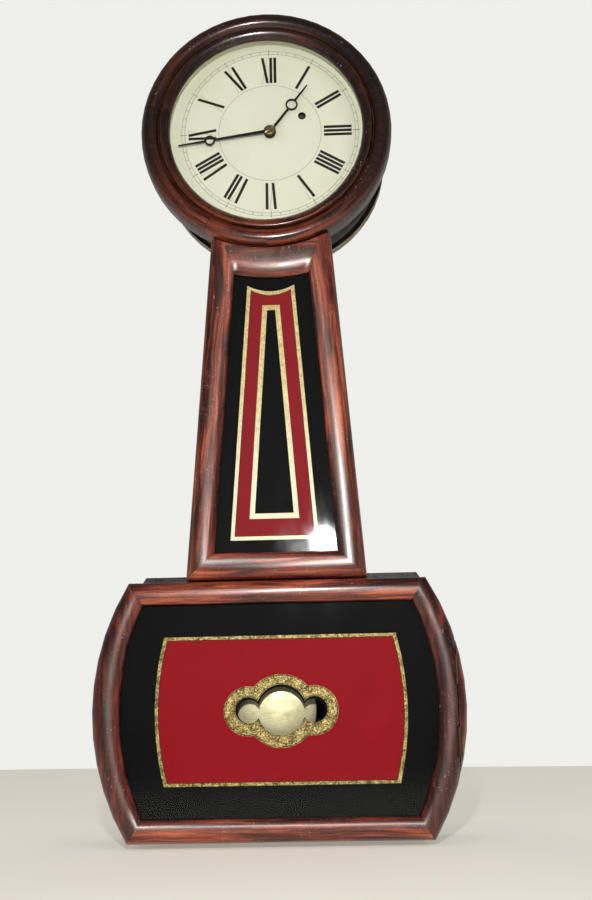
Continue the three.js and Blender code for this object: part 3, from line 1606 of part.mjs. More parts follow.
const verge_axis = groupAt(0, verge_z, rest_swing_deg);
add('anchor', anchorPiece(), 'steel', verge_axis);
add('crutch', crutchPiece(), 'brass', verge_axis);
add('suspension_spring', suspensionSpring(), 'steel', verge_axis);
add('pendulum_rod', pendulumRod(), 'steel', verge_axis);
add('pendulum_bob', pendulumBob(), 'brass', verge_axis);
add('rating_nut', ratingNut(), 'brass', verge_axis);

add('cannon_pinion', cannonPinion(), 'steel');
add('minute_wheel', minuteWheel(), 'brass', groupAt(minute_x, minute_z));
add('hour_wheel', hourWheel(), 'brass');
add(
  'hour_hand', handPiece(hour_hand, hour_hand_depth, hour_pipe_radius + seat_gap, hour_hand_deg),
  'black_steel',
);
add(
  'minute_hand', handPiece(minute_hand, minute_hand_depth, cannon_pipe_radius + seat_gap, minute_hand_deg),
  'black_steel',
);
add('hand_nut', handNut(), 'brass');

add('weight', weightBlock(), 'iron');
add('pulley_yoke', pulleyYoke(), 'iron');
add('pulley', pulleyWheel(), 'brass');
add('weight_line', weightLine(), 'line');

export default clock;
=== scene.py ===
import math

import bmesh
import bpy
from mathutils import Matrix, Vector
from mathutils.geometry import tessellate_polygon


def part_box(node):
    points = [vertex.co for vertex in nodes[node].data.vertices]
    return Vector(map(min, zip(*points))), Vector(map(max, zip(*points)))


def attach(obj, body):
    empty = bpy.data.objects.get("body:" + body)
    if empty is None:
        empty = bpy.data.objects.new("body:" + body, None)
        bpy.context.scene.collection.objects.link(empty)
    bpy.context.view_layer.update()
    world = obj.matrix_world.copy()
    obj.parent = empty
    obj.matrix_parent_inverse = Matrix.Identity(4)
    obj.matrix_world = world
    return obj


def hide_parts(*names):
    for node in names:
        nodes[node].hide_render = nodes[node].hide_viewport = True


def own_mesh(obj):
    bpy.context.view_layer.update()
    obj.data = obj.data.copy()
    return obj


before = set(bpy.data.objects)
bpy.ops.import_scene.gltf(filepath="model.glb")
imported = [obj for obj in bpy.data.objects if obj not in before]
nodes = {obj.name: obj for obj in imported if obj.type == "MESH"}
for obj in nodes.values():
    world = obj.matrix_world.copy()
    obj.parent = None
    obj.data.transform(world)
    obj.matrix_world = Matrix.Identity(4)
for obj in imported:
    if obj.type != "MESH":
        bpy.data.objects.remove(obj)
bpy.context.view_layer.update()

# Lengths are millimetres in the row frame, with depth counted from the wall to the front
# Names that end in _M are in metres
MM = 0.001
PER_METRE = 1000.0


class Room:
    """Space that a CAD node takes at rest: x, depth and z limits in millimetres."""

    def __init__(self, name):
        low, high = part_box(name)
        self.left, self.right = low.x * PER_METRE, high.x * PER_METRE
        self.back, self.front = -high.y * PER_METRE, -low.y * PER_METRE
        self.low, self.high = low.z * PER_METRE, high.z * PER_METRE
        self.x = (self.left + self.right) / 2
        self.z = (self.low + self.high) / 2
        self.half = (self.right - self.left) / 2


bezel = Room("bezel_ring")
bezel_glass = Room("bezel_glass")
dial = Room("dial")
throat_frame = Room("throat_frame")
throat_glass = Room("throat_glass")
door_frame = Room("door_frame")
door_glass = Room("door_glass")
line_room = Room("weight_line")
pulley = Room("pulley")


def add_object(name, data):
    item = bpy.data.objects.new(name, data)
    bpy.context.scene.collection.objects.link(item)
    return item


# Camera at the photograph's place, fitted to the clock's own circles and edges

FOCAL_LENGTH = 48.0
SENSOR_WIDTH = 36.0
CLIP_START_M = 0.01
CAMERA_PLACE_M = Vector((0.05377, -1.10170, -0.51022))
CAMERA_AHEAD = Vector((-0.03379, 0.97906, 0.20072)).normalized()
CAMERA_RIGHT = Vector((0.99907, 0.03845, -0.01933))


def make_camera():
    data = bpy.data.cameras.new("camera")
    data.lens = FOCAL_LENGTH
    data.sensor_width = SENSOR_WIDTH
    data.clip_start = CLIP_START_M
    camera = add_object("camera", data)
    up = CAMERA_RIGHT.cross(CAMERA_AHEAD).normalized()
    right = CAMERA_AHEAD.cross(up).normalized()
    turned = Matrix((right, up, -CAMERA_AHEAD)).transposed()
    camera.matrix_world = Matrix.Translation(CAMERA_PLACE_M) @ turned.to_4x4()
    bpy.context.scene.camera = camera


make_camera()


def srgb(red, green, blue):
    def linear(value):
        share = value / 255.0
        return share / 12.92 if share <= 0.04045 else ((share + 0.055) / 1.055) ** 2.4
    return (linear(red), linear(green), linear(blue), 1.0)


class Nodes:
    """A node tree that is built from empty."""

    def __init__(self, tree):
        self.tree = tree
        tree.nodes.clear()

    def node(self, kind, inputs=None, **settings):
        made = self.tree.nodes.new(kind)
        for key, value in settings.items():
            setattr(made, key, value)
        for key, value in (inputs or {}).items():
            if isinstance(value, bpy.types.NodeSocket):
                self.tree.links.new(value, made.inputs[key])
            else:
                made.inputs[key].default_value = value
        return made

    def out(self, kind, inputs=None, **settings):
        """Outputs of a new shader node."""
        return self.node("ShaderNode" + kind, inputs, **settings).outputs

    def split(self, vector):
        return self.out("SeparateXYZ", {0: vector})[:]

    def calc(self, operation, first, second=0.0, third=0.0):
        inputs = {0: first, 1: second, 2: third}
        return self.out("Math", inputs, operation=operation)[0]

    def times(self, first, second, plus=None):
        """Product of two values, and a third one added to it if given."""
        if plus is None:
            return self.calc("MULTIPLY", first, second)
        return self.calc("MULTIPLY_ADD", first, second, plus)

    def band(self, value, low, high, at_low=0.0, at_high=1.0):
        inputs = {"Value": value, "From Min": low, "From Max": high, "To Min": at_low, "To Max": at_high}
        return self.out("MapRange", inputs, clamp=True)[0]

    def mixed_shader(self, share, first, second):
        return self.out("MixShader", {0: share, 1: first, 2: second})[0]


class Shader(Nodes):
    """A material's node tree, with object coordinates in millimetres as its place."""

    def __init__(self, name):
        self.material = bpy.data.materials.new(name)
        self.material.use_nodes = True
        super().__init__(self.material.node_tree)
        inputs = {0: self.out("TexCoord")["Object"], "Scale": PER_METRE}
        self.place = self.out("VectorMath", inputs, operation="SCALE")[0]

    def join(self, x, y, z):
        return self.out("CombineXYZ", {0: x, 1: y, 2: z})[0]

    def total(self, *weighted):
        """Sum of (value, weight) pairs."""
        result = 0.0
        for value, weight in weighted:
            result = self.times(value, weight, result)
        return result

    def scaled(self, vector, x, y, z):
        """Place divided by the size of a texture's features along each axis."""
        inputs = {0: vector, 1: (1.0 / x, 1.0 / y, 1.0 / z)}
        return self.out("VectorMath", inputs, operation="MULTIPLY")[0]

    def moved(self, vector, offset):
        return self.out("VectorMath", {0: vector, 1: offset}, operation="ADD")[0]

    def turned(self, vector, angle_deg):
        inputs = {"Vector": vector, "Angle": math.radians(angle_deg)}
        return self.out("VectorRotate", inputs, rotation_type="Y_AXIS")[0]

    def around(self, x0, z0):
        """Place about a depth axis: x and z from it, y, angle from upright, and radius."""
        x, y, z = self.split(self.place)
        dx = self.calc("SUBTRACT", x, x0)
        dz = self.calc("SUBTRACT", z, z0)
        radius = self.calc("SQRT", self.times(dx, dx, self.times(dz, dz)))
        return dx, dz, y, self.calc("ARCTAN2", dx, dz), radius

    def noise(self, vector, detail=2.0, roughness=0.5, distortion=0.0):
        inputs = {"Vector": vector, "Scale": 1.0, "Detail": detail, "Roughness": roughness}
        inputs["Distortion"] = distortion
        return self.out("TexNoise", inputs)["Fac"]

    def cloud(self, size, *shape):
        """Noise with features of one size each way. shape is its detail, roughness and distortion."""
        return self.noise(self.scaled(self.place, size, size, size), *shape)

    def cell_edge(self, offset, x, y, z):
        """Distance to the edges of cells of a size along each axis."""
        vector = self.moved(self.scaled(self.place, x, y, z), offset)
        inputs = {"Vector": vector, "Scale": 1.0}
        return self.out("TexVoronoi", inputs, feature="DISTANCE_TO_EDGE")["Distance"]

    def ramp(self, value, positions, shades):
        made = self.node("ShaderNodeValToRGB", {0: value})
        elements = made.color_ramp.elements
        while len(elements) < len(positions):
            elements.new(0.5)
        for element, position, shade in zip(elements, positions, shades):
            element.position = position
            element.color = shade
        return made.outputs[0]

    def mix(self, share, first, second):
        return self.out("Mix", {0: share, 6: first, 7: second}, data_type="RGBA")[2]

    def finish(self, shader):
        self.node("ShaderNodeOutputMaterial", {0: shader})
        return self.material

    def principled(self, colour, roughness, relief, more=()):
        """Finished material. relief is a height, its size in millimetres and its strength, or None."""
        inputs = {"Base Color": colour, "Roughness": roughness, **dict(more)}
        if relief:
            height, size, strength = relief
            bump = {"Height": height, "Distance": size * MM, "Strength": strength}
            inputs["Normal"] = self.out("Bump", bump)[0]
        return self.finish(self.out("BsdfPrincipled", inputs)[0])


# Wood: each palette runs from dark to pale

ROSEWOOD = (srgb(35, 15, 12), srgb(87, 33, 22), srgb(134, 57, 37), srgb(186, 97, 59))
ROSEWOOD_DEEP = (srgb(22, 10, 10), srgb(59, 21, 17), srgb(94, 33, 26), srgb(129, 54, 40))
ROSEWOOD_RED = (srgb(45, 16, 14), srgb(99, 33, 25), srgb(139, 52, 36), srgb(171, 77, 52))
ROSEWOOD_DARK = (srgb(15, 10, 9), srgb(30, 15, 12), srgb(52, 24, 17), srgb(94, 42, 27))
BARE_WOOD = (srgb(139, 119, 97), srgb(181, 158, 131), srgb(208, 186, 156), srgb(233, 210, 181))
PALE_EDGE = (srgb(139, 131, 111), srgb(176, 168, 146), srgb(198, 192, 171), srgb(220, 214, 193))
DARK_STAIN = (srgb(20, 15, 12), srgb(32, 22, 17), srgb(47, 32, 25), srgb(64, 43, 32))
TONE_STOPS = (0.43, 0.49, 0.54, 0.61)
# Pale colour of dents and rubs: partly worn varnish, partly painted glints
RUB_AND_GLINT = srgb(218, 193, 182)
MITRE_DARK = srgb(16, 9, 9)
VARNISH_TINT = (1.0, 0.68, 0.56, 1.0)
VARNISH_COAT = 0.85


def wood_fibres(s, place, shades, seed=0.0, wander=5.0, streak=0.8, patch_size=11.0):
    """Colour, roughness and relief of a streaky wood. place is across, depth and along the grain."""
    across, depth, along = s.split(s.moved(place, (seed, seed * 0.7, seed * 3.1)))
    slow = s.noise(s.join(s.times(along, 1 / 70.0), s.times(across, 1 / 60.0), seed), 2.0)
    shift = s.times(slow, 2 * wander, -wander)
    wavy = s.join(s.calc("ADD", across, shift), depth, along)
    patch = s.noise(s.scaled(wavy, patch_size, patch_size, 78.0), 2.0, 0.55, 0.3)
    figure = s.noise(s.scaled(wavy, 3.6, 3.6, 90.0), 3.0, 0.6, 0.2)
    lines = s.noise(s.scaled(wavy, 1.1, 1.1, 56.0), 3.0, 0.6)
    fine = s.noise(s.scaled(wavy, 0.36, 0.36, 14.0), 2.0, 0.6)
    pores = s.noise(s.scaled(wavy, 0.24, 0.24, 3.4), 1.0, 0.5)
    tone = s.total((patch, 0.38), (figure, 0.30), (lines, 0.20), (fine, 0.12))
    colour = s.ramp(tone, TONE_STOPS, shades)
    dark_line = s.times(s.band(lines, 0.46, 0.38), s.band(patch, 0.64, 0.44))
    colour = s.mix(s.times(dark_line, streak), colour, shades[0])
    pore = s.band(pores, 0.40, 0.30)
    colour = s.mix(s.times(pore, 0.5), colour, shades[0])
    rough = s.band(s.times(pore, 0.5, fine), 0.3, 1.2, 0.34, 0.55)
    relief = s.times(fine, 0.4, s.times(pore, -1.0))
    return colour, rough, relief


def dents_and_glints(s, colour):
    """Sparse small dents and rubs in the varnish, painted pale as worn varnish and as painted glints:
    their share at each place, and the new colour.
    """
    ragged = s.noise(s.scaled(s.place, 1.3, 1.3, 1.9), 2.0, 0.6)
    keep = s.band(s.cloud(17.0, 1.0), 0.58, 0.62)
    dent_and_glint = s.times(s.band(ragged, 0.665, 0.70), keep)
    return dent_and_glint, s.mix(s.times(dent_and_glint, 0.6), colour, RUB_AND_GLINT)


def mitre_shade(s, colour, mitres):
    """Thin dark joint along each line through (x0, z0) and (x1, z1), mirrored in x."""
    x, _, z = s.split(s.place)
    side = s.calc("ABSOLUTE", x)
    for x0, z0, x1, z1 in mitres:
        length = math.hypot(x1 - x0, z1 - z0)
        nx, nz = (z1 - z0) / length, -(x1 - x0) / length
        away = s.times(side, nx, s.times(z, nz))
        off = s.calc("ABSOLUTE", s.calc("SUBTRACT", away, x0 * nx + z0 * nz))
        inside = s.band(side, min(x0, x1) - 1.0, min(x0, x1))
        joint = s.times(s.band(off, 0.45, 0.1, 0.0, 0.7), inside)
        colour = s.mix(joint, colour, MITRE_DARK)
    return colour


def varnished(name, grain, shades=ROSEWOOD, tilt=0.0, seed=0.0, mitres=(), streak=0.8):
    """Varnished rosewood, with its grain along x or z, tilted by an angle in degrees."""
    s = Shader(name)
    place = s.turned(s.place, tilt) if tilt else s.place
    if grain == "x":
        x, y, z = s.split(place)
        place = s.join(z, y, x)
    colour, rough, relief = wood_fibres(s, place, shades, seed, streak=streak)
    dent_and_glint, colour = dents_and_glints(s, colour)
    colour = mitre_shade(s, colour, mitres)
    return s.principled(colour, rough, (s.times(dent_and_glint, -2.5, relief), 0.05, 0.5), {
        "Specular IOR Level": 0.45, "Specular Tint": VARNISH_TINT, "Coat Weight": VARNISH_COAT,
        "Coat Roughness": s.band(s.cloud(26.0, 3.0, 0.6), 0.3, 0.7, 0.22, 0.32),
    })


def bare_wood(name, shades=BARE_WOOD, seed=0.0, rougher=0.3):
    """Unvarnished wood with upright grain and some stain."""
    s = Shader(name)
    colour, rough, relief = wood_fibres(s, s.place, shades, seed, streak=0.25)
    colour = s.mix(s.band(s.cloud(60.0, 3.0, 0.6), 0.5, 0.75, 0.0, 0.4), colour, shades[0])
    rough = s.calc("ADD", rough, rougher - 0.1)
    return s.principled(colour, rough, (relief, 0.12, 0.5), {"Specular IOR Level": 0.3})


# Bezel veneer: the shares of its width run from the outer edge to the glass

BEZEL_PIECES = 5
BEZEL_FIRST_JOINT_DEG = -6.0
BEZEL_WIDTH = 26.6
BEZEL_ARC_RADIUS = 101.0
BEZEL_LINE_SHARES = (0.618, 0.69)
BEZEL_WARM = srgb(154, 67, 32)
BEZEL_SHADED = srgb(20, 14, 11)
BEZEL_PALE_RAY = srgb(97, 37, 26)
BEZEL_DARK_RAY = srgb(17, 10, 10)
BEZEL_WORN = srgb(139, 82, 45)
BEZEL_JOINT = srgb(12, 9, 9)


def bezel_wood(name):
    """Cross-banded pieces of veneer round the ring, with their joints and two worn lines at the bead."""
    s = Shader(name)
    dx, dz, y, angle, radius = s.around(bezel.x, bezel.z)
    first = BEZEL_FIRST_JOINT_DEG / 360.0 * BEZEL_PIECES
    turn = s.times(angle, BEZEL_PIECES / (2 * math.pi), BEZEL_PIECES - first)
    piece = s.calc("FLOOR", turn)
    within = s.calc("FRACT", turn)
    arc = s.times(angle, BEZEL_ARC_RADIUS)
    jumps = ((37.0, radius), (11.0, y), (53.0, arc))
    place = s.join(*[s.times(piece, jump, value) for jump, value in jumps])
    colour, rough, relief = wood_fibres(
        s, place, ROSEWOOD_DARK, seed=4.0, wander=3.0, streak=0.5, patch_size=9.0)
    warm = s.band(s.noise(s.scaled(place, 4.0, 4.0, 50.0), 3.0, 0.6), 0.42, 0.60)
    warm = s.times(s.band(dz, -30.0, -110.0), warm)
    colour = s.mix(s.times(warm, 0.75), colour, BEZEL_WARM)
    # Painted shade: the ring's right side is darkened towards its edge
    colour = s.mix(s.times(s.band(dx, 40.0, 90.0), 0.65), colour, BEZEL_SHADED)
    rays = s.noise(s.join(s.times(radius, 1 / 14.0), s.times(arc, 1 / 0.9), piece), 2.0, 0.6)
    colour = s.mix(s.band(rays, 0.50, 0.70, 0.0, 0.3), colour, BEZEL_PALE_RAY)
    colour = s.mix(s.band(rays, 0.50, 0.34, 0.0, 0.45), colour, BEZEL_DARK_RAY)
    share = s.times(radius, -1 / BEZEL_WIDTH, bezel.half / BEZEL_WIDTH)
    worn = s.band(s.noise(s.scaled(place, 4.0, 4.0, 14.0), 2.0), 0.40, 0.62, 0.1, 0.6)
    for middle in BEZEL_LINE_SHARES:
        off = s.calc("ABSOLUTE", s.calc("SUBTRACT", share, middle))
        colour = s.mix(s.times(s.band(off, 0.016, 0.005), worn), colour, BEZEL_WORN)
    joint = s.band(s.calc("MINIMUM", within, s.calc("SUBTRACT", 1.0, within)), 0.0032, 0.0010)
    colour = s.mix(s.times(joint, 0.85), colour, BEZEL_JOINT)
    dent_and_glint, colour = dents_and_glints(s, colour)
    height = s.times(s.calc("ADD", dent_and_glint, joint), -2.0, relief)
    return s.principled(colour, rough, (height, 0.05, 0.5), {
        "Coat Weight": 1.0, "Coat Roughness": s.band(rays, 0.3, 0.7, 0.17, 0.23),
        "Specular IOR Level": 0.2,
    })


# Metals: each pair of tones runs from bright to dull

BRASS = (srgb(206, 172, 96), srgb(160, 124, 58))
OLD_BRASS = (srgb(82, 60, 34), srgb(50, 36, 22))
NUT_BRASS = (srgb(150, 130, 84), srgb(104, 88, 54))
BOB_BRASS = (srgb(228, 223, 186), srgb(186, 178, 134))
BRASS_TARNISH = srgb(98, 74, 38)
OLD_TARNISH = srgb(60, 46, 28)
BOB_TARNISH = srgb(182, 172, 126)
STEEL = (srgb(168, 170, 174), srgb(110, 112, 118))
# Painted shade: near-black steel for the winding arbor's sides down in its hole
ARBOR_SHADE_STEEL = (srgb(30, 29, 28), srgb(16, 15, 15))
BLUED = (srgb(38, 36, 28), srgb(20, 19, 15))
PIN_STEEL = (srgb(214, 214, 212), srgb(150, 150, 150))
# Painted highlight: paler steel for the winding square's front end
SQUARE_END_HIGHLIGHT = (srgb(104, 102, 98), srgb(62, 60, 58))
DIAL_METAL = (srgb(120, 122, 120), srgb(92, 94, 92))
STEEL_TARNISH = srgb(92, 84, 76)
CAST_IRON = (srgb(128, 129, 138), srgb(62, 63, 70))
IRON_RUST = srgb(78, 72, 70)
TURNED_MARKS = (0.35, 0.35, 9.0)
TURNED_ARC_RADIUS = 12.0


def metal(name, shades, tarnish=None, roughness=(0.28, 0.46), brush=(0.2, 0.2, 14.0), centre=None,
          metallic=0.75, relief=0.02):
    """Brushed or turned metal. brush is the size of its marks, which a centre lays in circles."""
    s = Shader(name)
    place = s.place
    if centre:
        _, _, y, angle, radius = s.around(*centre)
        place = s.join(radius, y, s.times(angle, TURNED_ARC_RADIUS))
    marks = s.noise(s.scaled(place, *brush), 3.0, 0.65)
    cloud = s.cloud(11.0, 3.0, 0.6)
    colour = s.mix(s.band(marks, 0.3, 0.7), shades[1], shades[0])
    if tarnish:
        colour = s.mix(s.band(cloud, 0.48, 0.72, 0.0, 0.6), colour, tarnish)
    marked = s.band(marks, 0.3, 0.7, roughness[1], roughness[0])
    rough = s.calc("ADD", marked, s.band(cloud, 0.4, 0.7, 0.0, 0.1))
    return s.principled(colour, rough, (marks, relief, 0.5), {"Metallic": metallic})


# Glass

GLASS_INDEX = 1.45
MIRROR_TONE = (0.2, 0.2, 0.2, 1.0)
GLASS_TINTS = ((0.995, 0.999, 0.996, 1.0), (0.982, 0.988, 0.985, 1.0))


def glass(name):
    """Clear pane: what lies behind shows through, and both faces mirror the same Fresnel share."""
    s = Shader(name)
    smear = s.noise(s.scaled(s.place, 30.0, 30.0, 45.0), 3.0, 0.6)
    mirror_inputs = {"Color": MIRROR_TONE, "Roughness": s.band(smear, 0.4, 0.7, 0.03, 0.09)}
    mirror = s.out("BsdfAnisotropic", mirror_inputs)[0]
    tint = s.mix(s.band(smear, 0.3, 0.8), *GLASS_TINTS)
    clear = s.out("BsdfTransparent", {"Color": tint})[0]
    back_face = s.out("NewGeometry")["Backfacing"]
    index = s.band(back_face, 0.0, 1.0, GLASS_INDEX, 1 / GLASS_INDEX)
    share = s.out("Fresnel", {"IOR": index})[0]
    return s.finish(s.mixed_shader(share, clear, mirror))


# Paints, gold and cord

RING_PAINT = (srgb(47, 48, 47), srgb(109, 111, 106))
DUST = srgb(158, 158, 149)
CREAM = (srgb(238, 237, 214), srgb(233, 231, 205))
CREAM_GRIT = srgb(190, 184, 150)
CORD_TONES = (srgb(96, 78, 50), srgb(156, 134, 92))
DULL_GOLD = (srgb(54, 41, 11), srgb(114, 92, 30), srgb(172, 144, 56), srgb(240, 218, 132))
PALE_GOLD = (srgb(176, 148, 78), srgb(210, 186, 116), srgb(226, 206, 142), srgb(236, 222, 170))
# Painted sheen: the pale gold that the throat's gold turns to towards its foot
SHEEN_GOLD = srgb(225, 218, 188)
GOLD_STOPS = (0.32, 0.43, 0.56, 0.68)
GOLD_CRACK = srgb(44, 30, 10)
# Painted glint: near-white colour of small creases in the leaf
GOLD_CREASE_GLINT = srgb(252, 240, 180)


def dusty_paint(name):
    s = Shader(name)
    cloud = s.cloud(22.0, 4.0, 0.65)
    speck = s.cloud(0.9, 2.0, 0.7)
    colour = s.mix(s.band(cloud, 0.4, 0.7, 0.0, 0.65), *RING_PAINT)
    colour = s.mix(s.band(speck, 0.56, 0.68, 0.0, 0.5), colour, DUST)
    rough = s.band(cloud, 0.35, 0.7, 0.38, 0.7)
    return s.principled(colour, rough, (s.calc("ADD", cloud, speck), 0.08, 0.35))


def dial_paint(name):
    s = Shader(name)
    cloud = s.cloud(38.0, 4.0, 0.6)
    grit = s.cloud(0.8, 2.0, 0.6)
    colour = s.mix(s.band(cloud, 0.35, 0.7), *CREAM)
    colour = s.mix(s.band(grit, 0.66, 0.74, 0.0, 0.25), colour, CREAM_GRIT)
    return s.principled(colour, s.band(cloud, 0.3, 0.7, 0.42, 0.55), (cloud, 0.15, 0.3))


def flat_paint(name, shades, size, roughness, specular=0.5):
    s = Shader(name)
    share = s.total((s.cloud(size, 4.0, 0.6), 0.75), (s.cloud(0.5, 2.0, 0.6), 0.25))
    colour = s.mix(s.band(share, 0.35, 0.65), *shades)
    rough = s.band(share, 0.3, 0.7, *roughness)
    return s.principled(colour, rough, (share, 0.02, 0.3), {"Specular IOR Level": specular})


def behind_glass(name, shades, size):
    """Paint on the back of a pane, which has next to no gloss of its own."""
    return flat_paint(name, shades, size, (0.5, 0.6), specular=0.05)


def gold_leaf(name, shades, wear, painted_sheen=None):
    """Leaf laid behind the glass: fine mottling, dark specks and cracks, small creases painted near white
    as glints, and a painted sheen that pales it downwards if one is given.
    """
    s = Shader(name)
    cloud = s.cloud(7.0, 3.0, 0.6)
    rub = s.cloud(0.62, 2.0, 0.7, 0.4)
    crack = s.cell_edge((0.3, 0.1, 0.7), 1.7, 1.7, 1.7)
    crease = s.cell_edge((0.8, 0.4, 0.2), 2.9, 2.9, 2.2)
    flake_inputs = {"Vector": s.scaled(s.place, 0.8, 0.8, 0.8), "Scale": 1.0}
    flake = s.split(s.out("TexVoronoi", flake_inputs)["Color"])[0]
    tone = s.total((cloud, 0.25), (rub, 0.4), (flake, 0.35))
    colour = s.ramp(tone, GOLD_STOPS, shades)
    # Painted sheen: paler towards the foot, between two heights
    if painted_sheen:
        high, low, sheen_colour = painted_sheen
        colour = s.mix(s.band(s.split(s.place)[2], high, low, 0.0, 0.85), colour, sheen_colour)
    broken = s.times(s.band(crack, 0.07, 0.02), s.band(cloud, 0.42, 0.58, 1.0, 0.2))
    dark = s.calc("MAXIMUM", broken, s.band(rub, 0.44, 0.36))
    colour = s.mix(s.times(dark, wear), colour, GOLD_CRACK)
    # Painted glint: small creases in the leaf coloured near white
    bright = s.times(s.band(crease, 0.05, 0.02), s.band(cloud, 0.45, 0.55))
    colour = s.mix(s.times(bright, 0.6 * wear), colour, GOLD_CREASE_GLINT)
    return s.principled(colour, s.band(rub, 0.3, 0.7, 0.6, 0.4), (rub, 0.08, 0.5), {"Metallic": 0.25})


def twisted_cord(name):
    s = Shader(name)
    fibre = s.noise(s.scaled(s.place, 0.15, 0.15, 1.2), 3.0, 0.7)
    colour = s.mix(s.band(fibre, 0.3, 0.7), *CORD_TONES)
    return s.principled(colour, s.band(fibre, 0.3, 0.7, 0.85, 0.6), (fibre, 0.1, 0.6))


# Shading: facets of rounds meet smoothly, and edges stay sharp

SHARP_DEG = 44.0
WELD_M = 1e-6


def smoothing_tree():
    group = bpy.data.node_groups.new("smooth_rounds", "GeometryNodeTree")
    for side in ("INPUT", "OUTPUT"):
        group.interface.new_socket("Geometry", in_out=side, socket_type="NodeSocketGeometry")
    t = Nodes(group)
    shape = t.node("NodeGroupInput").outputs[0]
    shape = t.node("GeometryNodeRemoveAttribute", {0: shape, "Name": "custom_normal"}).outputs[0]
    shape = t.node("GeometryNodeMergeByDistance", {0: shape, "Distance": WELD_M}).outputs[0]
    shape = t.node("GeometryNodeSetShadeSmooth", {0: shape, "Shade Smooth": True}).outputs[0]
    angles = {0: t.node("GeometryNodeInputMeshEdgeAngle").outputs[0], 1: math.radians(SHARP_DEG)}
    sharp = t.node("FunctionNodeCompare", angles, operation="GREATER_THAN").outputs[0]
    crisp = {0: shape, "Selection": sharp, "Shade Smooth": False}
    shape = t.node("GeometryNodeSetShadeSmooth", crisp, domain="EDGE").outputs[0]
    t.node("NodeGroupOutput", {0: shape})
    return group


SMOOTHING = smoothing_tree()


def smooth(item):
    item.modifiers.new("smooth_rounds", "NODES").node_group = SMOOTHING


def dress(name, *materials, choose=None):
    """Gives a CAD node its materials. choose picks one by a face's centre, in mm, and normal."""
    item = nodes[name]
    item.data.materials.clear()
    for material in materials:
        item.data.materials.append(material)
    for face in item.data.polygons:
        face.material_index = choose(face.center * PER_METRE, face.normal) if choose else 0
    smooth(item)


# New pieces are closed meshes made from points in millimetres: x, depth, z

FORWARD = Vector((0.0, 1.0, 0.0))
CURVE_STEPS = 40


def mesh_piece(name, vertices, faces, materials, body, indices=None, rounded=False):
    mesh = bpy.data.meshes.new(name)
    mesh.from_pydata([Vector((x * MM, -depth * MM, z * MM)) for x, depth, z in vertices], [], faces)
    for material in materials:
        mesh.materials.append(material)
    if indices:
        mesh.polygons.foreach_set("material_index", indices)
    work = bmesh.new()
    work.from_mesh(mesh)
    bmesh.ops.remove_doubles(work, verts=work.verts, dist=1e-7)
    bmesh.ops.recalc_face_normals(work, faces=work.faces)
    work.to_mesh(mesh)
    work.free()
    piece = add_object(name, mesh)
    if rounded:
        smooth(piece)
    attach(piece, body)
    return piece


def prisms(name, outlines, back, front, material, body):
    """Flat shapes given as closed lists of x, z, each with thickness between two depths."""
    vertices, faces = [], []
    for outline in outlines:
        first = len(vertices)
        count = len(outline)
        vertices += [(x, back, z) for x, z in outline] + [(x, front, z) for x, z in outline]
        faces.append(list(range(first, first + count)))
        faces.append(list(range(first + count, first + 2 * count)))
        for i in range(count):
            j = (i + 1) % count
            faces.append((first + i, first + j, first + count + j, first + count + i))
    mesh_piece(name, vertices, faces, [material], body)


def panel(name, regions, back, front, materials, body):
    """A thin painted layer. A region is a ring, its hole if it has one, and a material index."""
    vertices, faces, indices = [], [], []
    for rings, index in regions:
        triangles = tessellate_polygon([[Vector((x, z, 0.0)) for x, z in ring] for ring in rings])
        points = [point for ring in rings for point in ring]
        for depth in (back, front):
            first = len(vertices)
            vertices += [(x, depth, z) for x, z in points]
            faces += [tuple(first + i for i in triangle) for triangle in triangles]
            indices += [index] * len(triangles)
    edges = {}
    for rings, index in regions:
        for ring in rings:
            for start, end in zip(ring, ring[1:] + ring[:1]):
                edges.setdefault(frozenset((start, end)), []).append((start, end, index))
    for found in edges.values():
        if len(found) == 1:
            (x0, z0), (x1, z1), index = found[0]
            first = len(vertices)
            vertices += [(x0, back, z0), (x1, back, z1), (x1, front, z1), (x0, front, z0)]
            faces.append((first, first + 1, first + 2, first + 3))
            indices.append(index)
    mesh_piece(name, vertices, faces, materials, body, indices)


def tube_faces(rows, count, ends):
    """Faces between rows of points that run round a tube, whose ends are open, joined or capped."""
    faces = []
    for r in range(rows if ends == "joined" else rows - 1):
        row, following = r * count, (r + 1) % rows * count
        for k in range(count):
            n = (k + 1) % count
            faces.append((row + k, row + n, following + n, following + k))
    if ends == "capped":
        faces += [tuple(range(count)), tuple((rows - 1) * count + k for k in range(count))]
    return faces


def ring_points(centre, side, radius, count):
    """Points round a centre, from a sideways direction through forward."""
    turns = [2 * math.pi * k / count for k in range(count)]
    return [centre + (side * math.cos(turn) + FORWARD * math.sin(turn)) * radius for turn in turns]


def arc_points(x, z, radius, start, end, steps=CURVE_STEPS):
    angles = [start + (end - start) * i / steps for i in range(steps + 1)]
    return [(x + radius * math.cos(angle), z + radius * math.sin(angle)) for angle in angles]


def circle(x, z, radius, steps=96):
    return arc_points(x, z, radius, 0.0, 2 * math.pi, steps)[:-1]


# Case outlines: the throat's sides taper from the box to the head, and the box's sides are bowed

THROAT_RAIL = 22.5
THROAT_FOOT_RAIL = 22.2
THROAT_SIGHT_DROP = 47.3
THROAT_UNDER_HEAD = 5.0
DOOR_RAIL = 19.0
DOOR_STILE = 22.8
DOOR_CORNER_INSET = 12.3
DOOR_BULGE_LESS = 10.8
DOOR_BULGE = 29.9
REBATE = 4.0
HEAD_RADIUS = Room("head_ring").half - THROAT_UNDER_HEAD
THROAT_HALF_BOTTOM = throat_frame.half
THROAT_BOTTOM = throat_frame.low
BOX_CORNER = -door_frame.left - DOOR_BULGE
BOX_TOP = door_frame.high
BOX_BOTTOM = door_frame.low
TOP_ZONE = 30.0
TOP_LEAN = 0.05
CORNER_ROUNDS = 12


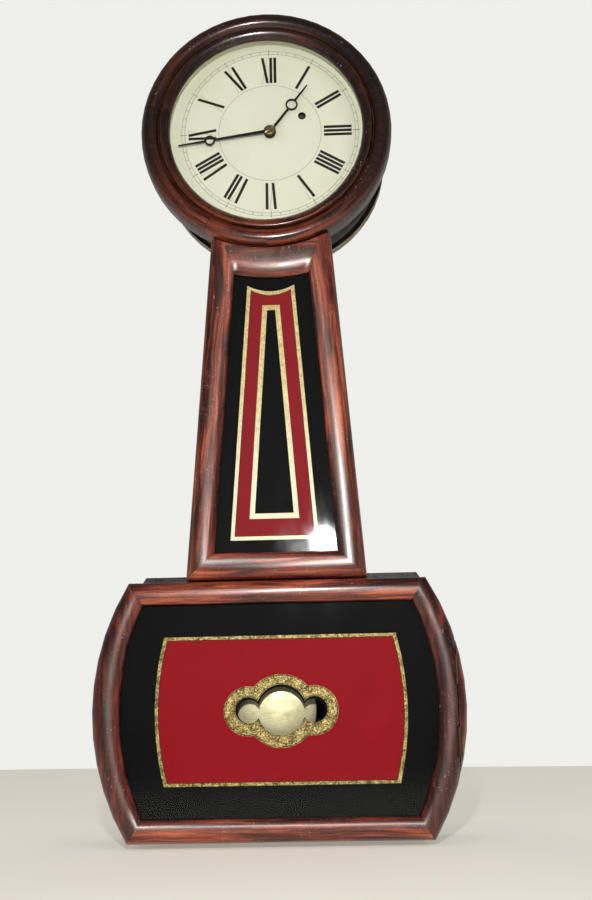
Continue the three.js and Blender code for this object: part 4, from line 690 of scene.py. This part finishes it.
def measured_taper():
    """Slope of the throat frame's right side, from its foot to its top."""
    points = [vertex.co * PER_METRE for vertex in nodes["throat_frame"].data.vertices]
    upper = [p for p in points if p.z > throat_frame.high - TOP_ZONE]
    top = max(upper, key=lambda p: p.x + TOP_LEAN * p.z)
    return (THROAT_HALF_BOTTOM - top.x) / (top.z - THROAT_BOTTOM)


THROAT_TAPER = measured_taper()
THROAT_TILT = math.degrees(math.atan(THROAT_TAPER))


def throat_half(z):
    return THROAT_HALF_BOTTOM - THROAT_TAPER * (z - THROAT_BOTTOM)


def throat_outline(share, inset=0.0):
    """Outline at a share of the rail's width from the outer edge to the sight."""
    side = (share * THROAT_RAIL + inset) * math.hypot(1.0, THROAT_TAPER)
    bottom = THROAT_BOTTOM + share * THROAT_FOOT_RAIL + inset
    radius = HEAD_RADIUS + share * THROAT_SIGHT_DROP + inset
    z = -radius
    for _ in range(CORNER_ROUNDS):
        z = -math.sqrt(radius ** 2 - (throat_half(z) - side) ** 2)
    spread = math.asin((throat_half(z) - side) / radius)
    top = arc_points(0.0, 0.0, radius, spread - math.pi / 2, -spread - math.pi / 2)
    half = throat_half(bottom) - side
    return [(half, bottom)] + top + [(-half, bottom)]


def bow_x(z, half, bulge, top, bottom):
    reach = (top - bottom) / 2
    radius = (reach ** 2 + bulge ** 2) / (2 * bulge)
    return half + bulge - radius + math.sqrt(radius ** 2 - (z - (top + bottom) / 2) ** 2)


def bowed_outline(half, bulge, top, bottom, x=0.0):
    """Outline with level top and bottom and bowed sides, from its lower right corner."""
    heights = [top + (bottom - top) * i / CURVE_STEPS for i in range(CURVE_STEPS + 1)]
    right = [(x + bow_x(z, half, bulge, top, bottom), z) for z in reversed(heights)]
    return right + [(x - bow_x(z, half, bulge, top, bottom), z) for z in heights]


def door_outline(share, inset=0.0):
    half = BOX_CORNER - share * DOOR_CORNER_INSET - inset
    rail = share * DOOR_RAIL + inset
    return bowed_outline(half, DOOR_BULGE - share * DOOR_BULGE_LESS, BOX_TOP - rail, BOX_BOTTOM + rail)


# Paintings on the backs of the two panes

PAINT_THICK = 0.12
PAINT_AIR = 0.08
PAINT_EDGE = 0.4
BLACK, GOLD, RED = 0, 1, 2


def tablet(name, pane, rings, colours, paints, body):
    """Nested outlines with a colour inside each. The last one is a clear opening if it has no colour."""
    front = pane.back - PAINT_AIR
    holes = [[inner] for inner in rings[1:]] + [[]]
    regions = [([ring] + hole, colour) for ring, hole, colour in zip(rings, holes, colours)]
    panel(name, regions, front - PAINT_THICK, front, paints, body)


# Half width of the top, heights of its corners and its middle, half width and height of the foot
THROAT_PAINTING_X = -1.0
THROAT_OUTLINES = (
    (20.9, -151.2, -156.8, 37.8, -379.3),
    (17.8, -155.0, -160.3, 34.4, -376.0),
    (17.4, -155.5, -160.8, 33.9, -375.5),
    (7.6, -169.7, -169.7, 21.3, -361.0),
    (3.6, -174.3, -174.3, 16.7, -356.4),
)
THROAT_COLOURS = (BLACK, GOLD, BLACK, RED, GOLD, BLACK)
# Painted sheen: the throat's gold grows paler from the first height down to the second
GOLD_PAINTED_SHEEN = (-230.0, -330.0, SHEEN_GOLD)


def lowered_arc_outline(top_half, corner_z, middle_z, bottom_half, bottom_z):
    """Tapered outline whose top edge dips in the middle."""
    xs = [top_half - 2 * top_half * i / CURVE_STEPS for i in range(CURVE_STEPS + 1)]
    top = [(x, middle_z + (corner_z - middle_z) * (x / top_half) ** 2) for x in xs]
    outline = [(bottom_half, bottom_z)] + top + [(-bottom_half, bottom_z)]
    return [(x + THROAT_PAINTING_X, z) for x, z in outline]


def throat_tablet():
    paints = [
        behind_glass("throat_black", (srgb(9, 10, 10), srgb(14, 16, 15)), 14.0),
        gold_leaf("throat_gold", PALE_GOLD, 0.35, GOLD_PAINTED_SHEEN),
        behind_glass("throat_red", (srgb(138, 31, 38), srgb(144, 35, 42)), 20.0),
    ]
    rim = throat_outline(1 - REBATE / THROAT_RAIL, PAINT_EDGE)
    rings = [rim] + [lowered_arc_outline(*outline) for outline in THROAT_OUTLINES]
    tablet("throat_tablet", throat_glass, rings, THROAT_COLOURS, paints, "case")


# Box painting: a gold line round the red field, and three-lobed outlines from the frame to the opening
PAINTING_X = 1.8
PAINTING_HALF = 97.3
PAINTING_BULGE = 7.7
PAINTING_TOP = -460.1
PAINTING_BOTTOM = -581.7
LINE_INSETS = (0.0, 2.6, 3.1)
# Each lobed outline is x, z, middle radius, lobe radius and the lobes' distance from the middle
LOBED_OUTLINES = (
    (2.1, -522.0, 30.0, 20.3, 27.4),
    (2.1, -522.0, 29.5, 19.8, 27.4),
    (2.1, -522.0, 29.0, 19.3, 27.4),
    (2.3, -521.2, 21.6, 11.7, 27.8),
    (2.3, -521.2, 21.2, 11.3, 27.8),
    (2.3, -521.2, 20.7, 10.8, 27.7),
    # Painted shadow: the clear opening lies lower and smaller than the gold line above, so the black band
    # round it is widest at its top and at the lobes' outer sides
    (2.3, -522.2, 19.6, 9.6, 26.9),
)
BOX_COLOURS = (BLACK, GOLD, BLACK, RED, GOLD, BLACK, GOLD, BLACK, GOLD, BLACK)


def lobed_outline(x, z, middle_radius, lobe_radius, lobe_offset):
    """A round with a smaller round let into each side."""
    meet = (middle_radius ** 2 - lobe_radius ** 2 + lobe_offset ** 2) / (2 * lobe_offset)
    rise = math.sqrt(middle_radius ** 2 - meet ** 2)
    at_middle = math.atan2(rise, meet)
    at_lobe = math.atan2(rise, meet - lobe_offset)
    points = arc_points(x + lobe_offset, z, lobe_radius, -at_lobe, at_lobe)
    points += arc_points(x, z, middle_radius, at_middle, math.pi - at_middle)[1:]
    points += arc_points(x - lobe_offset, z, lobe_radius, math.pi - at_lobe, math.pi + at_lobe)[1:]
    points += arc_points(x, z, middle_radius, math.pi + at_middle, 2 * math.pi - at_middle)[1:-1]
    return points


def box_tablet():
    paints = [
        behind_glass("box_black", (srgb(9, 10, 10), srgb(13, 15, 14)), 14.0),
        gold_leaf("box_gold", DULL_GOLD, 0.8),
        behind_glass("box_red", (srgb(148, 18, 29), srgb(153, 23, 33)), 26.0),
    ]
    rings = [door_outline(1 - REBATE / DOOR_STILE, PAINT_EDGE)]
    for inset in LINE_INSETS:
        top, bottom = PAINTING_TOP - inset, PAINTING_BOTTOM + inset
        rings.append(bowed_outline(PAINTING_HALF - inset, PAINTING_BULGE, top, bottom, PAINTING_X))
    rings += [lobed_outline(*outline) for outline in LOBED_OUTLINES]
    tablet("box_tablet", door_glass, rings, BOX_COLOURS, paints, "door")


throat_tablet()
box_tablet()


# Dial printing: hour numerals with their feet to the centre, minute track and inner circle

NUMERALS = ("XII", "I", "II", "III", "IIII", "V", "VI", "VII", "VIII", "IX", "X", "XI")
PRINT_RISE = 0.9
FOOT_RADIUS = 49.9
TOP_RADIUS = 75.6
STROKE = 2.6
HAIRLINE = 0.3
SERIF_HALF = 1.7
SERIF_THICK = 0.2
TRACK_RADII = (82.0, 79.1, 47.5)
TRACK_LINE = 0.28
TRACK_STEPS = 240
HOUR_MARK = (77.0, 83.4, 0.26)
MINUTE_MARK = (TRACK_RADII[1], TRACK_RADII[0], 0.18)
INK_THICKNESS = (0.05, 0.04, 0.03)
# A letter's width, and its strokes as the place of their foot, the place of their top and their width
LETTERS = {
    "I": (3.8, ((1.9, 1.9, STROKE),)),
    "V": (7.3, ((3.6, 1.5, STROKE), (4.1, 6.3, HAIRLINE))),
    "X": (7.3, ((5.9, 1.4, STROKE), (1.0, 5.8, HAIRLINE))),
}


def bar(u0, v0, u1, v1, width):
    """A straight stroke whose ends are level."""
    half = width / 2 * math.hypot(u1 - u0, v1 - v0) / abs(v1 - v0)
    return [(u0 - half, v0), (u0 + half, v0), (u1 + half, v1), (u1 - half, v1)]


def numeral_strokes(text):
    """Thick and thin outlines of a numeral, u across and v away from the dial's centre."""
    thick, thin = [], []
    low, high = FOOT_RADIUS, TOP_RADIUS
    u = -sum(LETTERS[letter][0] for letter in text) / 2
    for letter in text:
        width, strokes = LETTERS[letter]
        for foot, top, stroke in strokes:
            outlines = thick if stroke == STROKE else thin
            outlines.append(bar(u + foot, low, u + top, high, stroke))
            thin.append(bar(u + top, high, u + top, high - SERIF_THICK, 2 * SERIF_HALF))
            if letter != "V":
                thin.append(bar(u + foot, low, u + foot, low + SERIF_THICK, 2 * SERIF_HALF))
        u += width
    return thick, thin


def placed(outline, hour):
    cos, sin = math.cos(math.radians(30.0 * hour)), math.sin(math.radians(30.0 * hour))
    return [(u * cos + v * sin, v * cos - u * sin + PRINT_RISE) for u, v in outline]


def dial_printing():
    thick, thin, track = [], [], []
    for hour, text in enumerate(NUMERALS):
        bold, hair = numeral_strokes(text)
        thick += [placed(outline, hour) for outline in bold]
        thin += [placed(outline, hour) for outline in hair]
    for radius in TRACK_RADII:
        out = circle(0.0, PRINT_RISE, radius + TRACK_LINE / 2, TRACK_STEPS)
        ins = circle(0.0, PRINT_RISE, radius - TRACK_LINE / 2, TRACK_STEPS)
        track += [[out[i - 1], out[i], ins[i], ins[i - 1]] for i in range(TRACK_STEPS)]
    for minute in range(60):
        low, high, half = MINUTE_MARK if minute % 5 else HOUR_MARK
        track.append(placed(bar(0.0, low, 0.0, high, 2 * half), minute / 5.0))
    ink = flat_paint("numeral_ink", (srgb(20, 19, 12), srgb(28, 27, 18)), 6.0, (0.4, 0.5))
    worn_ink = flat_paint("hairline_ink", (srgb(104, 102, 84), srgb(168, 166, 142)), 6.0, (0.5, 0.6))
    faint = flat_paint("track_ink", (srgb(92, 92, 76), srgb(122, 120, 100)), 6.0, (0.5, 0.6))
    printing = (
        ("dial_numerals", thick, ink), ("dial_hairlines", thin, worn_ink), ("minute_track", track, faint),
    )
    for (name, outlines, paint), thickness in zip(printing, INK_THICKNESS):
        prisms(name, outlines, dial.front, dial.front + thickness, paint, "case")


dial_printing()


# Dial's margin under the bezel, and the slope between the bezel's bead and its glass

DIAL_MARGIN_RADIUS = 96.6
SLOPE_STEPS = 180
# Shares of the bezel's width from its outer edge, and of its thickness from its back
SLOPE_PROFILE = (
    (0.66, 0.62), (0.668, 0.78), (0.69, 0.88), (0.72, 0.9), (0.78, 0.885), (0.85, 0.845), (0.93, 0.78),
    (1.0, 0.69), (1.0, 0.62),
)


def dial_margin(paint):
    rings = [circle(0.0, 0.0, DIAL_MARGIN_RADIUS), circle(0.0, 0.0, dial.half)]
    panel("dial_margin", [(rings, 0)], dial.back, dial.front, [paint], "case")


def bezel_slope(veneer):
    thick = bezel.front - bezel.back
    profile = [
        (bezel.half - across * BEZEL_WIDTH, bezel.back + out * thick) for across, out in SLOPE_PROFILE
    ]
    vertices = []
    for i in range(SLOPE_STEPS):
        angle = 2 * math.pi * i / SLOPE_STEPS
        cos, sin = math.cos(angle), math.sin(angle)
        vertices += [(bezel.x + r * cos, depth, bezel.z + r * sin) for r, depth in profile]
    faces = tube_faces(SLOPE_STEPS, len(profile), "joined")
    mesh_piece("bezel_slope", vertices, faces, [veneer], "bezel", rounded=True)


# Weight line: a three-strand cord from the drum down, round the pulley and up to its stud

CORD_HALF = 0.5
STUD_GAP = 0.3
LINE_X = line_room.half - CORD_HALF
LINE_DEPTH = (line_room.back + line_room.front) / 2
LINE_STUD_Z = Room("line_stud").low - STUD_GAP
STRANDS = 3
STRAND_RADIUS = 0.24
STRAND_OFFSET = 0.25
STRAND_SIDES = 5
TWIST_LENGTH = 5.0
TWIST_STEP = 0.7
LOOP_STEPS = 100


def cord_piece(name, path, material, body):
    """Strands that wind round a path, which is a list of (point, side, length so far)."""
    vertices, faces = [], []
    for number in range(STRANDS):
        first = len(vertices)
        for point, side, travelled in path:
            angle = 2 * math.pi * (number / STRANDS + travelled / TWIST_LENGTH)
            centre = point + (side * math.cos(angle) + FORWARD * math.sin(angle)) * STRAND_OFFSET
            vertices += ring_points(centre, side, STRAND_RADIUS, STRAND_SIDES)
        cells = tube_faces(len(path), STRAND_SIDES, "capped")
        faces += [tuple(first + i for i in cell) for cell in cells]
    return mesh_piece(name, vertices, faces, [material], body, rounded=True)


def straight_path(x, top, bottom):
    count = int((top - bottom) / TWIST_STEP)
    side = Vector((1.0, 0.0, 0.0))
    drops = [(top - bottom) * i / count for i in range(count + 1)]
    return [(Vector((x, LINE_DEPTH, top - drop)), side, drop) for drop in drops]


def weight_line():
    material = twisted_cord("line_cord")
    sides = (
        ("weight_line_drum_side", LINE_X, line_room.high),
        ("weight_line_stud_side", -LINE_X, LINE_STUD_Z),
    )
    for name, x, top in sides:
        piece = cord_piece(name, straight_path(x, top, pulley.z), material, "case")
        if x > 0:
            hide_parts("weight_line")
        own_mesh(piece)
    middle = Vector((0.0, LINE_DEPTH, pulley.z))
    path = []
    for i in range(LOOP_STEPS + 1):
        angle = math.pi * i / LOOP_STEPS
        out = Vector((math.cos(angle), 0.0, -math.sin(angle)))
        path.append((middle + out * LINE_X, out, LINE_X * angle))
    cord_piece("weight_line_loop", path, material, "weight")


weight_line()


# Pendulum bob with slightly domed faces

BOB_SIDES = 128
BOB_STEPS = 12
BOB_LIP = 1.2
BOB_DOME = 4.6
BOB_RIM_HALF = 2.0


def bob_lens(material):
    bob = Room("pendulum_bob")
    shares = [i / BOB_STEPS for i in range(1, BOB_STEPS + 1)]
    flat = bob.half - BOB_LIP
    middle = (bob.front + bob.back) / 2
    front = [(flat * share, bob.front - BOB_DOME * share ** 2) for share in shares]
    rim = [(bob.half, middle + BOB_RIM_HALF), (bob.half, middle - BOB_RIM_HALF)]
    back = [(flat * share, bob.back + BOB_DOME * share ** 2) for share in reversed(shares)]
    rows = front + rim + back
    vertices = []
    for radius, depth in rows:
        vertices += [(x, depth, z) for x, z in circle(bob.x, bob.z, radius, BOB_SIDES)]
    faces = tube_faces(len(rows), BOB_SIDES, "open")
    hub = len(vertices)
    last = hub - BOB_SIDES
    vertices += [(bob.x, bob.front, bob.z), (bob.x, bob.back, bob.z)]
    for k in range(BOB_SIDES):
        n = (k + 1) % BOB_SIDES
        faces += [(hub, n, k), (hub + 1, last + k, last + n)]
    piece = mesh_piece("bob_lens", vertices, faces, [material], "pendulum", rounded=True)
    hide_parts("pendulum_bob")


# Taper pin that holds the hands on their arbor

PIN_TURN_DEG = 38.0
PIN_SINK = 0.9
PIN_SIDES = 10
# Distance along the pin and radius there
PIN_PROFILE = ((-5.4, 0.42), (-5.2, 0.52), (5.2, 0.7), (5.4, 0.6))


def hand_pin():
    steel = metal("pin_steel", PIN_STEEL, None, (0.25, 0.4))
    turn = math.radians(PIN_TURN_DEG)
    along = Vector((math.cos(turn), 0.0, math.sin(turn)))
    across = Vector((-along.z, 0.0, along.x))
    middle = FORWARD * (Room("hand_nut").front - PIN_SINK)
    vertices = []
    for reach, radius in PIN_PROFILE:
        vertices += ring_points(middle + along * reach, across, radius, PIN_SIDES)
    faces = tube_faces(len(PIN_PROFILE), PIN_SIDES, "capped")
    mesh_piece("hand_pin", vertices, faces, [steel], "cannon", rounded=True)


hand_pin()


# Materials of the case's nodes

FACING = 0.5
HEAD_RAIL_MARGIN = 20.0
PUTTY_ROOM = 1.0


def mitre_lines(outer, inner, top_corner):
    """Joints at the foot and the top of a frame's right side: its outer x, z and its inner x, z."""
    return [(*outer[i], *inner[i]) for i in (0, top_corner)]


def rail_chooser(mitres, margin=0.0):
    """Picks the level rails, the left stile or the right stile for each face of a mitred frame."""
    foot, top = mitres

    def within(mitre, centre):
        x0, z0, x1, z1 = mitre
        return abs(centre.x) < x0 + (centre.z - z0) * (x1 - x0) / (z1 - z0)

    def choose(centre, normal):
        on_foot = centre.z < foot[3] and within(foot, centre)
        on_top = centre.z > top[3] - margin and within(top, centre)
        if on_foot or on_top:
            return 0
        return 1 if centre.x < 0 else 2

    return choose


def dress_frames():
    mitres = mitre_lines(throat_outline(0.0), throat_outline(1.0), 1)
    left = varnished("rosewood_throat_left", "z", tilt=-THROAT_TILT, seed=23.0, mitres=mitres)
    right = varnished("rosewood_throat_right", "z", tilt=THROAT_TILT, seed=31.0, mitres=mitres)
    level = varnished("rosewood_throat_level", "x", seed=11.0, mitres=mitres)
    dress("throat_frame", level, left, right, choose=rail_chooser(mitres, HEAD_RAIL_MARGIN))
    dress("throat_side_left", left)
    dress("throat_side_right", right)
    mitres = mitre_lines(door_outline(0.0), door_outline(1.0), CURVE_STEPS)
    level = varnished("rosewood_door_level", "x", seed=47.0, mitres=mitres)
    left = varnished("rosewood_door_left", "z", ROSEWOOD_DEEP, seed=59.0, mitres=mitres)
    right = varnished("rosewood_door_right", "z", ROSEWOOD_DEEP, seed=71.0, mitres=mitres)
    dress("door_frame", level, left, right, choose=rail_chooser(mitres))
    dress("hinge_stile", varnished("rosewood_stile", "z", ROSEWOOD_RED, seed=83.0, streak=0.4))


def dress_boards():
    inside = bare_wood("inside_wood", seed=7.0)
    level = varnished("rosewood_box_level", "x", ROSEWOOD_DARK, seed=91.0)
    upright = varnished("rosewood_box_upright", "z", ROSEWOOD_DARK, seed=97.0)
    inner_faces = (
        ("box_side_left", upright, Vector((1, 0, 0))), ("box_side_right", upright, Vector((-1, 0, 0))),
        ("box_top", level, Vector((0, 0, -1))), ("box_bottom", level, Vector((0, 0, 1))),
    )
    for name, wood, inward in inner_faces:
        dress(name, wood, inside, choose=lambda centre, normal: int(normal.dot(inward) > FACING))
    dress("head_ring", dusty_paint("ring_paint"))
    dress("throat_top_rail", inside)
    dress("weight_baffle", inside)
    edge = bare_wood("stained_edge", DARK_STAIN, seed=5.0, rougher=0.15)
    back = bare_wood("back_wood", seed=3.0)
    pale_edge = bare_wood("head_edge", PALE_EDGE, seed=9.0)

    def board_face(centre, normal):
        if normal.y > FACING:
            return 1
        return 2 if centre.z > throat_frame.high and abs(normal.y) < FACING else 0

    dress("back_board", edge, back, pale_edge, choose=board_face)


def dress_head():
    putty = flat_paint("glazing_putty", (srgb(226, 224, 200), srgb(216, 213, 186)), 12.0, (0.6, 0.8))

    def bezel_face(centre, normal):
        dx, dz = centre.x - bezel.x, centre.z - bezel.z
        inward = normal.x * dx + normal.z * dz < 0 and abs(normal.y) < FACING
        in_rebate = math.hypot(dx, dz) < bezel_glass.half + PUTTY_ROOM and -centre.y < bezel_glass.back
        return 1 if inward and in_rebate else 0

    veneer = bezel_wood("bezel_veneer")
    dress("bezel_ring", veneer, putty, choose=bezel_face)
    bezel_slope(veneer)
    clear = glass("clear_glass")
    for name in ("throat_glass", "bezel_glass", "door_glass"):
        dress(name, clear)
    bare_metal = metal("dial_metal", DIAL_METAL, None, (0.5, 0.65), metallic=0.6)
    cream = dial_paint("dial_cream")
    dress("dial", cream, bare_metal, choose=lambda centre, normal: 0 if normal.y < -FACING else 1)
    dial_margin(cream)


dress_frames()
dress_boards()
dress_head()


# Materials of the metal nodes and the line

WINDING_ARBOR_RADIUS = 3.1
# Radius of the steel arbor that shows in each brass wheel, or 0 where none does
STEEL_CORES = {
    "great_wheel": 0.0, "centre_wheel": 3.6, "hour_wheel": 0.0, "third_wheel": 2.9, "escape_wheel": 2.9,
    "minute_wheel": 0.0, "pulley": 0.0,
}


def turned_brass(name, centre):
    return metal(name, BRASS, BRASS_TARNISH, brush=TURNED_MARKS, centre=centre)


def dress_metals():
    brass = metal("brass", BRASS, BRASS_TARNISH)
    plate = metal("plate_brass", BRASS, BRASS_TARNISH, brush=(0.25, 0.25, 22.0))
    old_brass = metal("old_brass", OLD_BRASS, OLD_TARNISH, (0.4, 0.6), metallic=0.5)
    steel = metal("steel", STEEL, STEEL_TARNISH, (0.26, 0.42))
    arbor_shade_steel = metal("arbor_shade_steel", ARBOR_SHADE_STEEL, None, (0.4, 0.6), metallic=0.4)
    black = metal("blued_black", BLUED, None, (0.3, 0.45), metallic=0.3)
    iron = metal("cast_iron", CAST_IRON, IRON_RUST, (0.5, 0.7), (1.3, 1.3, 70.0), metallic=0.3,
                 relief=0.15)
    bob = metal("bob_brass", BOB_BRASS, BOB_TARNISH, (0.36, 0.48), (16.0, 0.5, 0.3), metallic=0.86)
    dressed = (
        (old_brass, ("bezel_hinge_fixed", "bezel_hinge_moving", "door_hinge_fixed_upper",
                     "door_hinge_fixed_lower", "door_hinge_moving_upper", "door_hinge_moving_lower")),
        (brass, ("bezel_catch", "door_catch", "rating_nut", "crutch")),
        (plate, ("back_plate", "front_plate", "pendulum_cock", "pillar_1", "pillar_2", "pillar_3",
                 "pillar_4")),
        (steel, ("movement_screw_1", "movement_screw_2", "line_stud", "click", "click_spring", "anchor",
                 "suspension_spring", "pendulum_rod", "cannon_pinion")),
        (black, ("hour_hand", "minute_hand")),
        (bob, ("pendulum_bob",)),
        (iron, ("hanger_plate", "weight", "pulley_yoke")),
    )
    for material, names in dressed:
        for name in names:
            dress(name, material)
    bob_lens(bob)
    winding = Room("winding_drum")
    for name, core in STEEL_CORES.items():
        if name == "great_wheel":
            x, z = winding.x, winding.z
        elif name in ("centre_wheel", "hour_wheel"):
            x, z = 0.0, 0.0
        else:
            x, z = Room(name).x, Room(name).z
        turned = turned_brass(name + "_brass", (x, z))
        dress(name, turned, steel,
              choose=lambda centre, normal: int(math.hypot(centre.x - x, centre.z - z) < core))

    # The winding arbor as lit and shaded copies of one steel: its front end painted lighter as a
    # highlight, its sides painted dark as shade
    def drum_face(centre, normal):
        if math.hypot(centre.x - winding.x, centre.z - winding.z) > WINDING_ARBOR_RADIUS:
            return 0
        return 2 if normal.y < -FACING else 1

    drum_brass = turned_brass("drum_brass", (winding.x, winding.z))
    square_end_highlight = metal("square_end_highlight", SQUARE_END_HIGHLIGHT, None, (0.35, 0.5), metallic=0.6)
    dress("winding_drum", drum_brass, arbor_shade_steel, square_end_highlight, choose=drum_face)
    nut = metal("nut_brass", NUT_BRASS, None, (0.35, 0.5), TURNED_MARKS, centre=(0.0, 0.0), metallic=0.6)
    dress("hand_nut", nut)
    dress("weight_line", twisted_cord("line_cord_plain"))


dress_metals()


# Stage: pale floor up to its far edge, and the pale wall's colour beyond it

FLOOR_GAP = 4.6
FLOOR_FAR_LEFT_M = (-0.46, 1.12)
FLOOR_FAR_RIGHT_M = (0.53, 0.91)
FLOOR_REACH_M = 4.0
FLOOR_TONES = (srgb(232, 227, 215), srgb(236, 231, 220))
FLOOR_GLOW = srgb(252, 247, 234)
# The floor is darker towards the lamps, between these places along y
FLOOR_DIM = srgb(96, 94, 89)
FLOOR_DIM_FROM = -450.0
FLOOR_DIM_TO = -800.0
# It glows where it is seen, more towards its far edge, between these places along y
FLOOR_LIFT = (0.16, 0.38)
FLOOR_LIFT_FROM = -420.0
FLOOR_LIFT_TO = 120.0


def make_stage():
    s = Shader("floor")
    s.material.cycles.emission_sampling = "NONE"
    cloud = s.cloud(160.0, 4.0, 0.6)
    y = s.split(s.place)[1]
    near_lamps = s.band(y, FLOOR_DIM_FROM, FLOOR_DIM_TO)
    path = s.out("LightPath")
    seen = s.calc("MAXIMUM", path["Is Camera Ray"], path["Is Glossy Ray"])
    seen = s.calc("MAXIMUM", seen, path["Is Transmission Ray"])
    lift = s.band(y, FLOOR_LIFT_FROM, FLOOR_LIFT_TO, *FLOOR_LIFT)
    lift = s.times(lift, s.calc("SUBTRACT", 1.0, near_lamps))
    colour = s.mix(near_lamps, s.mix(s.band(cloud, 0.3, 0.7), *FLOOR_TONES), FLOOR_DIM)
    floor_paint = s.principled(colour, s.band(cloud, 0.3, 0.7, 0.8, 0.9), None, {
        "Specular IOR Level": 0.2, "Emission Color": FLOOR_GLOW,
        "Emission Strength": s.times(lift, seen),
    })
    level = (BOX_BOTTOM - FLOOR_GAP) * MM
    reach = FLOOR_REACH_M
    corners = (
        (-reach, -reach), (reach, -reach), (reach, FLOOR_FAR_RIGHT_M[1]), FLOOR_FAR_RIGHT_M,
        FLOOR_FAR_LEFT_M, (-reach, FLOOR_FAR_LEFT_M[1]),
    )
    mesh = bpy.data.meshes.new("floor")
    mesh.from_pydata([(x, y, level) for x, y in corners], [], [tuple(range(len(corners)))])
    mesh.materials.append(floor_paint)
    floor = add_object("floor", mesh)


WHITE = (1.0, 1.0, 1.0, 1.0)
WALL = srgb(239, 239, 236)
FILL_STRENGTH = 0.26
MIRRORED_WALL = 0.4
MIRRORED_FRONT = 0.11
# Parts of a direction's length along y and along z, between which the mirrored room changes
WALL_TURN = 0.3
CEILING_FROM = 0.8
CEILING_TO = 0.2


def make_world():
    """Even fill, with the pale wall where the camera or a polished surface sees past the clock."""
    world = bpy.data.worlds.new("studio")
    bpy.context.scene.world = world
    world.use_nodes = True
    w = Nodes(world.node_tree)

    def glow(colour, strength):
        return w.out("Background", {"Color": colour, "Strength": strength})[0]

    path = w.out("LightPath")
    seen = w.calc("MAXIMUM", path["Is Camera Ray"], path["Is Transmission Ray"])
    _, y, z = w.split(w.out("TexCoord")["Generated"])
    behind = w.times(w.band(y, -WALL_TURN, WALL_TURN), w.band(z, CEILING_FROM, CEILING_TO))
    mirrored = w.mixed_shader(behind, glow(WALL, MIRRORED_FRONT), glow(WALL, MIRRORED_WALL))
    unseen = w.mixed_shader(path["Is Glossy Ray"], glow(WHITE, FILL_STRENGTH), mirrored)
    w.node("ShaderNodeOutputWorld", {0: w.mixed_shader(seen, unseen, glow(WALL, 1.0))})


# Lamps: name, place and size in metres, watts, shape, and whether polished surfaces mirror them
LAMP_TARGET_M = Vector((0.0, 0.0, -0.3))
LAMPS = (
    ("key", (0.028, -1.10, -0.253), (0.034, 0.034), 7.0, "ELLIPSE", True),
    ("fill_left", (-1.3, -1.9, -0.2), (1.0, 1.6), 11.0, "RECTANGLE", False),
    ("fill_right", (1.4, -1.8, -0.1), (1.0, 1.6), 12.0, "RECTANGLE", False),
)


def area_light(name, place, size, watts, shape, mirrored):
    data = bpy.data.lights.new(name, "AREA")
    data.shape = shape
    data.size, data.size_y = size
    data.energy = watts
    light = add_object(name, data)
    light.location = place
    light.rotation_euler = (LAMP_TARGET_M - Vector(place)).to_track_quat("-Z", "Y").to_euler()
    light.visible_glossy = mirrored


make_stage()
make_world()
for lamp in LAMPS:
    area_light(*lamp)

bpy.context.scene.view_settings.view_transform = "Standard"
